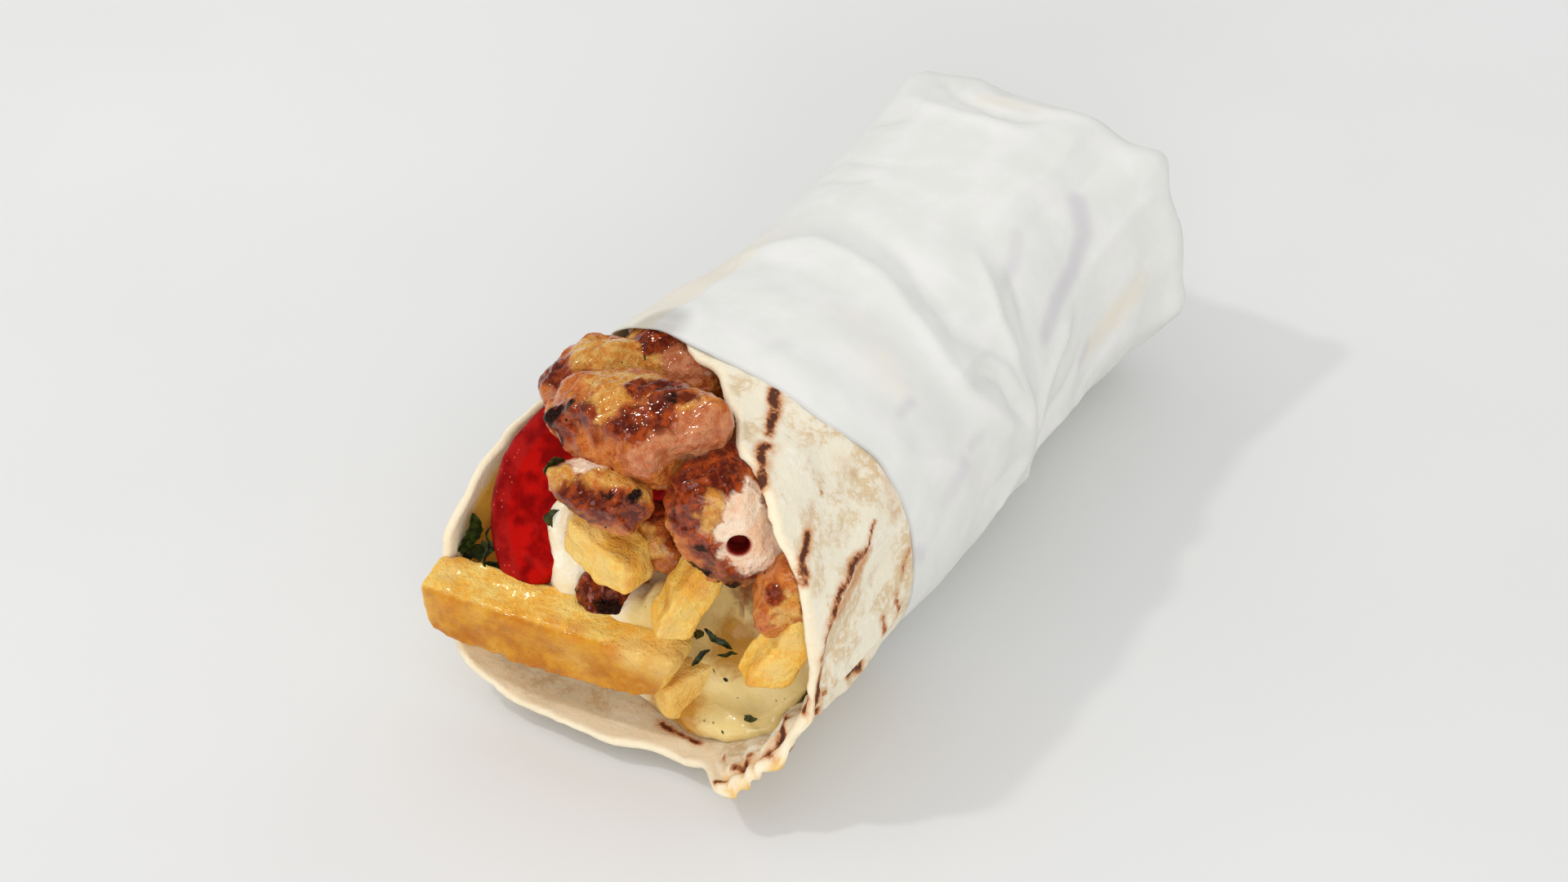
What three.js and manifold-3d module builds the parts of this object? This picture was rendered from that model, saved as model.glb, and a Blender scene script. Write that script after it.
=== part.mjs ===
// A gyro wrap lying on its side: a rolled flatbread with an open mouth at one end, filled with grilled
// chicken, fries, tomato and sauce, and held by a sleeve of white paper that closes round the far end.
// Millimetres. While it is built, +Y runs from the mouth to the tail, +X to the right of someone who
// looks into the mouth along +Y, +Z is up and Z = 0 is the table. The finished group is then moved so
// that the origin is under the middle of its box.
import * as THREE from "three";
import { mergeVertices } from "three/addons/utils/BufferGeometryUtils.js";
import Module from "manifold-3d";

const wasm = await Module();
wasm.setup();

// Driving dimensions
const BREAD_THICKNESS = 2;
const BREAD_TAIL_Y = 158;
const PAPER_THICKNESS = 0.6;
const PAPER_GAP = 0.8; // air between the paper and the bread
const PAPER_TAIL_Y = 165;
const PAPER_END_BULGE = 4; // how far the closed end stands out past the last full ring
const CONTACT_GAP = 0.35; // kept between two pieces that touch
const FLAT_SPOT = 2.4; // how far the round belly is flattened where it rests
const SQUARENESS = 2.3; // 2 is an ellipse, more is boxier
const SAUCE_Y = 12; // the sauce meets the belly of the bread here
const SAUCE_LEAN = 0.45; // and its face leans back this much as it rises

const DEGREES_PER_MM = 1.5; // round the roll, near its skin
const STEPS_ROUND = 40; // facets round the roll, shared by the paper, the bread and the filling

// The roll's outline along its length: [y, left half width, right half width, height, lift off the table].
// It is wide and high at the mouth, squeezed at the waist and opens again a little at the folded tail.
const OUTLINE = [
  [-12, 42, 44, 70, 4],
  [20, 42, 43.5, 74, 1],
  [43, 36, 43, 73, 0],
  [62, 33.5, 41, 71, 0],
  [80, 32.5, 39.5, 68, 0],
  [98, 32, 37, 66, 0],
  [116, 33, 33.5, 65, 0],
  [134, 35, 31, 65, 0],
  [152, 37.5, 32, 64, 0],
  [170, 40, 36, 59, 2],
];

// The mouth's edge on the rolled round sheet: [angle in degrees, y]. Angles count from the top towards
// +X, so 90 is the right side, 180 the belly and 270 the left side. Below 0 the sheet closes over the top
// and, past -63, lies over its own start.
const SHEET_RIM = [
  [-81, 82],
  [-62, 61],
  [-45, 51],
  [-20, 48.5],
  [2, 40],
  [14, 32],
  [27, 23],
  [53, 16],
  [90, 13],
  [112, 9],
  [126, 3],
  [136, -2],
  [150, 5],
  [163, 5],
  [180, 1],
  [221, -1],
  [243, 2],
  [261, 8],
  [279, 27],
  [290, 38],
  [297, 60],
];
const SHEET_END = SHEET_RIM[0][0];
const SHEET_START = SHEET_RIM[SHEET_RIM.length - 1][0];
const TUCK = [250, 275]; // between these angles the sheet's start slips in under its end,
const TUCK_Y = [40, 70]; // and it does so gradually between these stations

// The paper's front edge in the same form
const PAPER_RIM = [
  [-90, 60],
  [-22, 46],
  [0, 42],
  [30, 43],
  [56, 48],
  [105, 50],
  [180, 54],
  [270, 60],
];

const COLOURS = {
  paper: 0xe9e9e4,
  bread: 0xeadfc4,
  chicken: 0xb4602c,
  fry: 0xe5ab4a,
  tomato: 0xb3201a,
  sauce: 0xe9dba6,
};

// Grilled chicken: centre, half sizes, turn in degrees about X, Y and Z, and its cut faces, each a
// direction and a distance from the centre as a share of the half size. One piece shows the hole that
// the skewer left in it: the middle of its mouth and the way it runs.
const SKEWER = { radius: 2.1, depth: 7 };
const CHICKEN = {
  chicken_top: { at: [-1.5, 21, 68.5], half: [18, 13, 9.5], turn: [-20, -6, -4],
    cuts: [[0.9, -0.5, -0.1, 0.78], [0, -0.7, -0.9, 0.86]] },
  chicken_left: { at: [-20.5, 35, 61.5], half: [11, 11, 9], turn: [10, -24, 10],
    cuts: [[-0.2, 0.1, 1, 0.8], [0.9, -0.6, 0.2, 0.8]] },
  chicken_back: { at: [-9, 47, 60], half: [14, 13, 11], turn: [0, 8, -20],
    cuts: [[0.5, -0.8, 0.4, 0.7]] },
  chicken_low: { at: [-1, 9, 62], half: [11, 8, 6], turn: [-16, 6, -12],
    cuts: [[-0.2, 0.2, 1, 0.75]] },
  chicken_right: { at: [20.5, 21, 55], half: [11, 11, 16.5], turn: [24, -22, 8],
    cuts: [[0.3, -0.6, -0.75, 0.72], [0.5, -0.8, 0.2, 0.78]],
    skewer: { at: [26.4, 14, 58.5], along: [-0.45, 0.7, -0.35] } },
  chicken_middle: { at: [3, 24, 42], half: [9, 9, 7], turn: [8, 0, 16],
    cuts: [[0, -1, 0.2, 0.85]] },
  chicken_sunk: { at: [-6.5, 18, 27], half: [7, 7, 5.5], turn: [-12, 10, 0],
    cuts: [[0, -0.8, 0.6, 0.85]] },
  chicken_side: { at: [35.5, 20, 47], half: [7, 9, 8.5], turn: [0, 16, 0],
    cuts: [[-0.6, -0.7, 0.2, 0.85]] },
};

// Fries: the middles of the two ends, width, depth and how far the middle sags
const FRIES = {
  fry_front: { from: [-39.5, 2.5, 23], to: [13.2, 13.2, 22], width: 13, depth: 12.5, sag: 1.2 },
  fry_upper: { from: [-12, 15, 45], to: [5, 12, 42], width: 10, depth: 9, sag: 0.4 },
  fry_centre: { from: [18.5, 19, 50], to: [12, 11, 31.5], width: 9, depth: 8.5, sag: -0.8 },
  fry_right: { from: [38.5, 20, 45], to: [32, 12, 29], width: 9.5, depth: 9, sag: 0.5 },
  fry_bottom: { from: [6, 13, 11], to: [16, 43, 15], width: 13, depth: 10, sag: 0.8 },
};

// A half slice of tomato: its centre is the middle of the round edge
const TOMATO = { at: [-10, 22, 41], radius: 26, thickness: 7, turn: [58, 0, -30], from: 75, sweep: 190 };

const radians = (angle) => (angle * Math.PI) / 180;

function smoothStep(from, to, value) {
  const t = Math.min(1, Math.max(0, (value - from) / (to - from)));
  return t * t * (3 - 2 * t);
}

// Reads one column of a table whose first column rises, easing from each row to the next.
function along(table, column, value) {
  let read = table[0][column];
  for (let i = 1; i < table.length; i++) {
    const step = table[i][column] - table[i - 1][column];
    read += step * smoothStep(table[i - 1][0], table[i][0], value);
  }
  return read;
}

// A point of the roll at an angle in degrees and a station y, moved out from the bread's skin by offset.
// The belly is flattened, so the paper, which is the outermost skin, rests on Z = 0.
function rollPoint(angle, y, offset) {
  const s = Math.sin(radians(angle));
  const c = Math.cos(radians(angle));
  const power = 2 / SQUARENESS;
  const side = along(OUTLINE, s > 0 ? 2 : 1, y) + offset;
  const lift = along(OUTLINE, 4, y);
  const low = lift + PAPER_GAP + PAPER_THICKNESS - offset;
  const top = lift + along(OUTLINE, 3, y) + offset;
  const middle = (low - FLAT_SPOT + top) / 2;
  const x = side * Math.sign(s) * Math.abs(s) ** power;
  const z = middle + (top - middle) * Math.sign(c) * Math.abs(c) ** power;
  return new THREE.Vector3(x, y, Math.max(z, low));
}

const rollAxis = (y) => rollPoint(0, y, 0).add(rollPoint(180, y, 0)).multiplyScalar(0.5);

// Turns an angle read off an arc tangent into the range that a rim table covers.
const onTable = (table, angle) => (angle < table[0][0] ? angle + 360 : angle);

// Moves every vertex of a three.js geometry through a function and welds it into a solid.
function solidFrom(geometry, move) {
  const shape = geometry.clone();
  shape.deleteAttribute("normal");
  shape.deleteAttribute("uv");
  const position = shape.attributes.position;
  for (let i = 0; i < position.count; i++) {
    const moved = move(new THREE.Vector3().fromBufferAttribute(position, i));
    position.setXYZ(i, moved.x, moved.y, moved.z);
  }
  const welded = mergeVertices(shape, 1e-3);
  const corners = [];
  for (let i = 0; i < welded.index.count; i += 3) {
    const [a, b, c] = welded.index.array.slice(i, i + 3);
    if (a !== b && b !== c && c !== a) corners.push([a, b, c]);
  }
  const build = (order) =>
    new wasm.Manifold(
      new wasm.Mesh({
        numProp: 3,
        vertProperties: new Float32Array(welded.attributes.position.array),
        triVerts: new Uint32Array(corners.flatMap(order)),
      }),
    );
  const solid = build(([a, b, c]) => [a, b, c]);
  return solid.volume() > 0 ? solid : build(([a, b, c]) => [a, c, b]);
}

// A closed body of rings round the roll. A ring is { y, share, offset, lean, rim }: share 0 is the roll's
// middle and 1 its skin, lean moves the ring back in step with its height, and rim moves it forward along
// the paper's edge.
function ringedSolid(rings) {
  const profile = rings.map((ring, i) => new THREE.Vector2(ring.share, i));
  return solidFrom(new THREE.LatheGeometry(profile, STEPS_ROUND), (p) => {
    const ring = rings[Math.round(p.y)];
    const angle = (Math.atan2(p.x, p.z) * 180) / Math.PI;
    const y = ring.y + (ring.rim ?? 0) * along(PAPER_RIM, 1, onTable(PAPER_RIM, angle));
    const point = rollAxis(y).lerp(rollPoint(angle, y, ring.offset), ring.share);
    point.y += (ring.lean ?? 0) * point.z;
    return point;
  });
}

// The rolled sheet: a flat slab whose width goes round the roll and whose length runs to the tail.
function breadSolid(grown) {
  const round = Math.round(((SHEET_START - SHEET_END) * STEPS_ROUND) / 360);
  const slab = new THREE.BoxGeometry(1, 1, 1, round, 10, 1);
  return solidFrom(slab, (p) => {
    const spread = SHEET_END - SHEET_START - 2 * DEGREES_PER_MM * grown;
    const angle = (SHEET_START + SHEET_END) / 2 + spread * p.x;
    const rim = along(SHEET_RIM, 1, angle) - grown;
    const y = rim + (BREAD_TAIL_Y + grown - rim) * (p.y + 0.5);
    const tuck = (BREAD_THICKNESS + 3 * CONTACT_GAP) * smoothStep(...TUCK, angle) * smoothStep(...TUCK_Y, y);
    const skin = p.z > 0 ? grown : -BREAD_THICKNESS - grown;
    return rollPoint(angle, y, skin - tuck);
  });
}

// The paper sleeve: a thin cup open at the mouth end, its closed end a little domed.
function paperSolid(grown) {
  const inner = PAPER_GAP - grown;
  const outer = PAPER_GAP + PAPER_THICKNESS + grown;
  const wall = (offset) => [
    { y: -grown, rim: 1, share: 1, offset },
    ...[66, 90, 114, 138].map((y) => ({ y, share: 1, offset })),
    { y: PAPER_TAIL_Y - 4, share: 1, offset },
  ];
  const end = (offset) =>
    [0, 0.5, 0.88].map((share) => ({
      y: PAPER_TAIL_Y + offset + PAPER_END_BULGE * (1 - share ** 2),
      share,
      offset,
    }));
  const outside = [...end(outer), { y: PAPER_TAIL_Y, share: 0.97, offset: outer }, ...wall(outer).reverse()];
  const inside = [...wall(inner), { y: PAPER_TAIL_Y - 1, share: 0.96, offset: inner }, ...end(inner).reverse()];
  return ringedSolid([...outside, ...inside]);
}

// The sauce and the hidden rest of the filling: it fills the roll, and its face leans back in the mouth.
function sauceSolid() {
  const skin = -BREAD_THICKNESS - 2 * CONTACT_GAP;
  const face = { y: SAUCE_Y, offset: skin, lean: SAUCE_LEAN };
  const tail = { y: BREAD_TAIL_Y - 2, offset: skin };
  return ringedSolid([
    ...[0, 0.35, 0.7, 1].map((share) => ({ ...face, share })),
    ...[60, 90, 120].map((y) => ({ ...tail, y, share: 1 })),
    { ...tail, share: 1 },
    { ...tail, share: 0 },
  ]);
}

// A lump of chicken: a ball made uneven by low waves and cut flat on some sides.
function chickenSolid({ at, half, turn, cuts, skewer }, grown) {
  const placed = new THREE.Matrix4().compose(
    new THREE.Vector3(...at),
    new THREE.Quaternion().setFromEuler(new THREE.Euler(...turn.map(radians))),
    new THREE.Vector3(...half.map((h) => h + grown)),
  );
  const lump = solidFrom(new THREE.IcosahedronGeometry(1, 2), (p) => {
    const waves = Math.sin(3 * p.x + at[0]) * Math.sin(2.6 * p.y + at[1]) + 0.6 * Math.sin(4 * p.z + at[2]);
    p.multiplyScalar(1 + 0.07 * waves);
    for (const [x, y, z, reach] of cuts) {
      const normal = new THREE.Vector3(x, y, z).normalize();
      const over = p.dot(normal) - reach;
      if (over > 0) p.addScaledVector(normal, -0.85 * over);
    }
    return p.applyMatrix4(placed);
  });
  if (!skewer || grown) return lump;
  const run = new THREE.Vector3(...skewer.along).normalize();
  const turned = new THREE.Quaternion().setFromUnitVectors(new THREE.Vector3(0, 1, 0), run);
  const rod = new THREE.CylinderGeometry(SKEWER.radius, SKEWER.radius, 2 * SKEWER.depth, 14);
  return lump.subtract(
    solidFrom(rod, (p) => p.applyQuaternion(turned).add(new THREE.Vector3(...skewer.at))),
  );
}

// A fry: a bar with rounded edges and blunt ends, bent a little.
function frySolid({ from, to, width, depth, sag }, grown) {
  const start = new THREE.Vector3(...from);
  const run = new THREE.Vector3(...to).sub(start);
  const length = run.length() + 2 * grown;
  const forward = run.clone().normalize();
  const side = new THREE.Vector3(0, 0, 1).cross(forward).normalize();
  const up = forward.clone().cross(side);
  const middle = start.clone().addScaledVector(run, 0.5);
  return solidFrom(new THREE.BoxGeometry(2, 2, 2, 8, 2, 2), (p) => {
    const roundness = 0.2 * Math.max(0, Math.abs(p.y) + Math.abs(p.z) - 1);
    const blunt = 1 - 0.22 * Math.abs(p.x) ** 8;
    const wobble = 1 + 0.05 * Math.sin(5 * p.x + from[0]);
    const across = p.y * (width / 2 + grown) * (1 - roundness) * blunt * wobble;
    const high = p.z * (depth / 2 + grown) * (1 - roundness) * blunt;
    return middle
      .clone()
      .addScaledVector(forward, (p.x * length) / 2)
      .addScaledVector(side, across)
      .addScaledVector(up, high - sag * (1 - p.x ** 2));
  });
}

// A thick half slice of tomato with a rounded skin edge.
function tomatoSolid(grown) {
  const bevel = TOMATO.thickness / 3;
  const half = new THREE.Shape();
  half.absarc(0, 0, TOMATO.radius - bevel, radians(TOMATO.from), radians(TOMATO.from + TOMATO.sweep), false);
  half.closePath();
  const slice = new THREE.ExtrudeGeometry(half, {
    depth: TOMATO.thickness - 2 * bevel,
    bevelSize: bevel + grown,
    bevelThickness: bevel + grown,
    bevelSegments: 2,
    curveSegments: 12,
  });
  slice.translate(0, 0, -(TOMATO.thickness - 2 * bevel) / 2);
  const placed = new THREE.Matrix4().compose(
    new THREE.Vector3(...TOMATO.at),
    new THREE.Quaternion().setFromEuler(new THREE.Euler(...TOMATO.turn.map(radians))),
    new THREE.Vector3(1, 1, 1),
  );
  return solidFrom(slice, (p) => p.applyMatrix4(placed));
}

// Every piece in the order in which it takes its room: a later piece is cut back from an earlier one.
const PIECES = [
  { name: "paper_wrap", finish: "paper", make: paperSolid },
  { name: "flatbread", finish: "bread", make: breadSolid },
  ...Object.entries(CHICKEN).map(([name, piece]) => ({
    name,
    finish: "chicken",
    make: (grown) => chickenSolid(piece, grown),
  })),
  ...Object.entries(FRIES).map(([name, piece]) => ({
    name,
    finish: "fry",
    make: (grown) => frySolid(piece, grown),
  })),
  { name: "tomato_slice", finish: "tomato", make: tomatoSolid },
  { name: "sauce_filling", finish: "sauce", make: sauceSolid, smoothing: 0.12 },
];

const apart = (a, b) => [0, 1, 2].some((i) => a.max[i] < b.min[i] || b.max[i] < a.min[i]);

// Cuts a piece back from those made before it, and keeps its largest lump.
function fitted(piece, earlier) {
  let solid = piece.make(0);
  for (const other of earlier) {
    if (!apart(solid.boundingBox(), other.room.boundingBox())) solid = solid.subtract(other.room);
  }
  const lumps = solid.simplify(piece.smoothing ?? 0.02).decompose().sort((a, b) => b.volume() - a.volume());
  return lumps[0];
}

function meshOf(name, solid, finish) {
  const { vertProperties, triVerts } = solid.getMesh();
  const geometry = new THREE.BufferGeometry();
  geometry.setAttribute("position", new THREE.BufferAttribute(vertProperties, 3));
  geometry.setIndex(new THREE.BufferAttribute(triVerts, 1));
  const shiny = finish === "tomato" || finish === "sauce";
  const material = new THREE.MeshStandardMaterial({
    color: COLOURS[finish],
    roughness: shiny ? 0.3 : 0.7,
    metalness: 0,
  });
  const mesh = new THREE.Mesh(geometry, material);
  mesh.name = name;
  return mesh;
}

const wrap = new THREE.Group();
const placedPieces = [];
for (const piece of PIECES) {
  wrap.add(meshOf(piece.name, fitted(piece, placedPieces), piece.finish));
  placedPieces.push({ room: piece.make(CONTACT_GAP) });
}

const box = new THREE.Box3().setFromObject(wrap);
const centre = box.getCenter(new THREE.Vector3());
wrap.position.set(-centre.x, -centre.y, -box.min.z);

export default wrap;
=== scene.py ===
# A gyro wrap on a pale floor: a rolled flatbread with grilled chicken, fries, tomato and sauce in its mouth,
# held by a sleeve of white paper. Sizes are millimetres in the tables and metres on the objects.
# The roll's own frame: angles count from the top towards +X, and y runs from the mouth to the tail.
import math
import random

import bpy
from mathutils import Matrix, Vector, noise


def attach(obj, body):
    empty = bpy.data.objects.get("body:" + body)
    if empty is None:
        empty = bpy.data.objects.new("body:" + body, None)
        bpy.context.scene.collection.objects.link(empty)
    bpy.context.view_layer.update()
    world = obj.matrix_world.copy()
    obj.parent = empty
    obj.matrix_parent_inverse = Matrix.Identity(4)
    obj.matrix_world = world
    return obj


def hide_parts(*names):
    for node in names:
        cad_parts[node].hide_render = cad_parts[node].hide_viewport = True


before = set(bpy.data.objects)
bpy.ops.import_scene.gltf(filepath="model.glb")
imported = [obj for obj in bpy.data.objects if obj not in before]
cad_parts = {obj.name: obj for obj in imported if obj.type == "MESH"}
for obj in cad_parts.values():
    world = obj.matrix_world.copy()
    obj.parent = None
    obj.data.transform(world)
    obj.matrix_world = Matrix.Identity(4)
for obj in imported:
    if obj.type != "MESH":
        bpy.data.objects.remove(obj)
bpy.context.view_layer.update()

MM = 0.001
FROM_ROLL = Vector((-0.9252, -83.8988, 0))  # the roll's frame lies here in the part's frame
CRISP_MESH = 0.42  # the mesh size of the chicken and the fries

# ---------------------------------------------------------------- the camera, the light and the floor

CAMERA_TARGET = Vector((-24.1707, 17.2935, 0))
CAMERA_AROUND = 34.523
CAMERA_ABOVE = 40
CAMERA_DISTANCE = 900
CAMERA_LENS = 97.03

ROOM_LIGHT = 0.83
ROOM_GLOSS = 0.06
# Name, place in metres, diameter in metres, watts and colour
LAMPS = [
    ("window", (-0.95, -0.1, 1.15), 1.2, 1.4, (1.0, 0.99, 0.985)),
    ("front", (0.85, -1.15, 0.6), 1.0, 6.1, (1.0, 0.99, 0.985)),
    ("sparkle", (-0.6, -0.45, 1.1), 0.08, 2.6, (1.0, 0.99, 0.97)),
    ("glint", (-0.5, 0.25, 1.0), 0.1, 2.2, (1.0, 0.9, 0.76)),
]


def set_camera():
    around, above = math.radians(CAMERA_AROUND), math.radians(CAMERA_ABOVE)
    back = Vector((math.sin(around) * math.cos(above), -math.cos(around) * math.cos(above), math.sin(above)))
    bpy.ops.object.camera_add(
        location=(CAMERA_TARGET + back * CAMERA_DISTANCE) * MM,
        rotation=(math.pi / 2 - above, 0, around),
    )
    camera = bpy.context.object
    camera.data.lens = CAMERA_LENS
    camera.data.sensor_width = 36
    camera.data.clip_start = 0.01
    bpy.context.scene.camera = camera


def add_lamp(name, position, size, power, colour):
    position = Vector(position)
    bpy.ops.object.light_add(type="AREA", location=position)
    lamp = bpy.context.object
    lamp.name = name
    lamp.rotation_euler = (-position).to_track_quat("-Z", "Y").to_euler()
    lamp.data.shape = "DISK"
    lamp.data.size = size
    lamp.data.energy = power
    lamp.data.color = colour
    lamp.visible_diffuse = name != "glint"  # it only shines in wet spots


def light_the_table():
    world = bpy.data.worlds.new("studio")
    bpy.context.scene.world = world
    world.use_nodes = True
    nodes, links = world.node_tree.nodes, world.node_tree.links
    room = nodes["Background"]
    room.inputs["Color"].default_value = (0.985, 0.99, 1.0, 1)
    # The room lights the food evenly, but shines in its gloss only faintly.
    ray = nodes.new("ShaderNodeLightPath")
    strength = nodes.new("ShaderNodeMapRange")
    strength.inputs["To Min"].default_value = ROOM_LIGHT
    strength.inputs["To Max"].default_value = ROOM_GLOSS
    links.new(ray.outputs["Is Glossy Ray"], strength.inputs["Value"])
    links.new(strength.outputs["Result"], room.inputs["Strength"])
    for lamp in LAMPS:
        add_lamp(*lamp)
    view = bpy.context.scene.view_settings
    view.view_transform = "Standard"
    view.look = "None"


# ---------------------------------------------------------------- finishes


def linear(red, green, blue):
    """A colour given in the usual 0 to 255 steps, as light."""

    def one(step):
        share = step / 255
        return share / 12.92 if share <= 0.04045 else ((share + 0.055) / 1.055) ** 2.4

    return (one(red), one(green), one(blue), 1)


class Signal:
    """A value that varies over a surface. Adding or multiplying signals adds the Math nodes."""

    def __init__(self, finish, socket):
        self.finish = finish
        self.socket = socket

    def sum(self, operation, *values):
        return self.finish.make("ShaderNodeMath", {"operation": operation}, dict(enumerate(values)))

    def __add__(self, other):
        return self.sum("ADD", self, other)

    def __sub__(self, other):
        return self.sum("SUBTRACT", self, other)

    def __rsub__(self, other):
        return self.sum("SUBTRACT", other, self)

    def __mul__(self, other):
        return self.sum("MULTIPLY", self, other)

    __rmul__ = __mul__

    def rise(self, low, high):
        """0 below low, 1 above high, and a smooth step between them."""
        return self.finish.make(
            "ShaderNodeMapRange",
            {"interpolation_type": "SMOOTHSTEP"},
            {"Value": self, "From Min": low, "From Max": high},
        )


class Finish:
    """One material and its shader."""

    def __init__(self, name):
        self.material = bpy.data.materials.new(name)
        self.material.use_nodes = True
        self.tree = self.material.node_tree
        self.shader = self.tree.nodes["Principled BSDF"]
        self.place = self.make("ShaderNodeTexCoord", output="Object")

    def make(self, kind, settings=None, inputs=None, output=0):
        node = self.tree.nodes.new(kind)
        for name, value in (settings or {}).items():
            setattr(node, name, value)
        for name, value in (inputs or {}).items():
            self.feed(node.inputs[name], value)
        return Signal(self, node.outputs[output])

    def feed(self, socket, value):
        if isinstance(value, Signal):
            self.tree.links.new(value.socket, socket)
        else:
            socket.default_value = value

    def surface(self, glow=None, **sockets):
        """Feeds the shader; an underscore stands for the space in a socket's name. glow is how much light
        passes under the surface, how far in red, green and blue, and the depth in millimetres."""
        if glow:
            weight, radius, depth = glow
            sockets.update(Subsurface_Weight=weight, Subsurface_Radius=radius, Subsurface_Scale=depth * MM)
        for name, value in sockets.items():
            self.feed(self.shader.inputs[name.replace("_", " ")], value)

    def grain(self, size, detail=3, rough=0.55, distortion=0.0):
        """Soft noise from 0 to 1 with blots of about this many millimetres."""
        place = {"Vector": self.place, "Scale": 1000 / size}
        look = {"Detail": detail, "Roughness": rough, "Distortion": distortion}
        return self.make("ShaderNodeTexNoise", None, place | look)

    def cells(self, size):
        """Distance to the nearest of scattered spots, in shares of their spacing."""
        return self.make("ShaderNodeTexVoronoi", None, {"Vector": self.place, "Scale": 1000 / size})

    def mark(self, name):
        """A value stored on the piece's points."""
        return self.make("ShaderNodeAttribute", {"attribute_name": name}, output="Fac")

    def ragged(self, name, shift, low, high):
        """A stored value that rises to 1 with an uneven edge."""
        return (self.mark(name) + shift).rise(low, high)

    def mix(self, factor, first, second):
        """Blends two colours, each a signal or red, green and blue in the usual 0 to 255 steps."""
        node = self.tree.nodes.new("ShaderNodeMix")
        node.data_type = "RGBA"
        for i, value in ((0, factor), (6, first), (7, second)):
            self.feed(node.inputs[i], linear(*value) if isinstance(value, tuple) else value)
        return Signal(self, node.outputs[2])

    def layers(self, colour, *coats):
        """Lays coats over a colour, each given as how much of it shows and its own colour."""
        for share, coat in coats:
            colour = self.mix(share, colour, coat)
        return colour

    def bump(self, height, depth):
        """Relief of this many millimetres, for the shader's normal."""
        relief = {"Height": height * (depth * MM), "Distance": 1.0, "Strength": 1.0}
        return self.make("ShaderNodeBump", None, relief)


def bread_finish():
    bread = Finish("baked_flatbread")
    broad = bread.grain(15, 2)
    patch = bread.grain(5.5, 4, 0.62)
    fleck = bread.grain(1.5, 3, 0.6)
    dust = bread.grain(0.5, 2, 0.6)
    thin = (broad * 0.6 + patch * 0.75 + fleck * 0.15).rise(0.7, 0.82)
    flour = (patch * 0.45 + fleck * 0.55).rise(0.5, 0.6)
    lip = bread.mark("lip")
    broken = patch * 0.6 + fleck * 1.6 + dust * 0.4 - 0.3
    scorch = bread.mark("char") * broken
    # The inside of the left wall: an oil stain, brightened with a painted glow that stands in for light
    # shining through the bread.
    oil_and_glow_colour = bread.mix(bread.ragged("oil_and_glow", patch * 0.3 - 0.15, 0.35, 1.0), (255, 230, 164), (255, 196, 74))
    colour = bread.layers(
        (237, 228, 205),
        (thin * (0.9 - 0.45 * lip), (217, 191, 150)),
        (flour * 0.6, (245, 240, 225)),
        # the paler lip at the mouth's edge, and on its inside painted light where the lip lies in shade
        ((lip + fleck * 0.3 - 0.15).rise(0.25, 0.8) * 0.7, (250, 234, 202)),
        (bread.ragged("golden", patch * 0.6 - 0.3, 0.25, 0.9) * 0.85, (238, 190, 108)),
        (bread.ragged("oil_and_glow", patch * 0.5 - 0.25, 0.1, 0.8), oil_and_glow_colour),
        ((bread.mark("toast") * broken).rise(0.1, 0.95) * 0.9, (200, 130, 62)),
        (scorch.rise(0.4, 0.7) * 0.85, (168, 98, 50)),
        (scorch.rise(0.64, 0.84) * 0.92, (84, 42, 30)),
    )
    relief = fleck * 0.5 + dust * 0.25 + patch * 0.6
    bread.surface(
        Base_Color=colour,
        Roughness=0.75 - 0.12 * scorch.rise(0.5, 0.9),
        Specular_IOR_Level=0.25,
        glow=(0.25, (1.0, 0.75, 0.45), 2),
        Normal=bread.bump(relief, 0.4),
    )
    return bread.material


def paper_finish():
    paper = Finish("white_wrapping_paper")
    pulp = paper.grain(0.7, 3, 0.6)
    cloud = paper.grain(9, 3, 0.5)
    pale = cloud.rise(0.35, 0.7)
    colour = paper.layers(
        paper.mix(pale, (226, 226, 221), (232, 231, 227)),
        (paper.mark("single") * 0.75, (230, 223, 204)),
        (paper.ragged("oily", (cloud - 0.5) * 0.4, 0.2, 0.9) * 0.6, (226, 210, 172)),
        (paper.ragged("seen", (cloud - 0.5) * 0.5, 0.2, 1.0) * 0.45, (188, 183, 192)),
    )
    paper.surface(
        Base_Color=colour,
        Roughness=0.6,
        Specular_IOR_Level=0.25,
        Alpha=1 - 0.55 * paper.mark("sheer"),
        Normal=paper.bump(pulp * 0.4 + cloud, 0.1),
    )
    return paper.material


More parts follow.
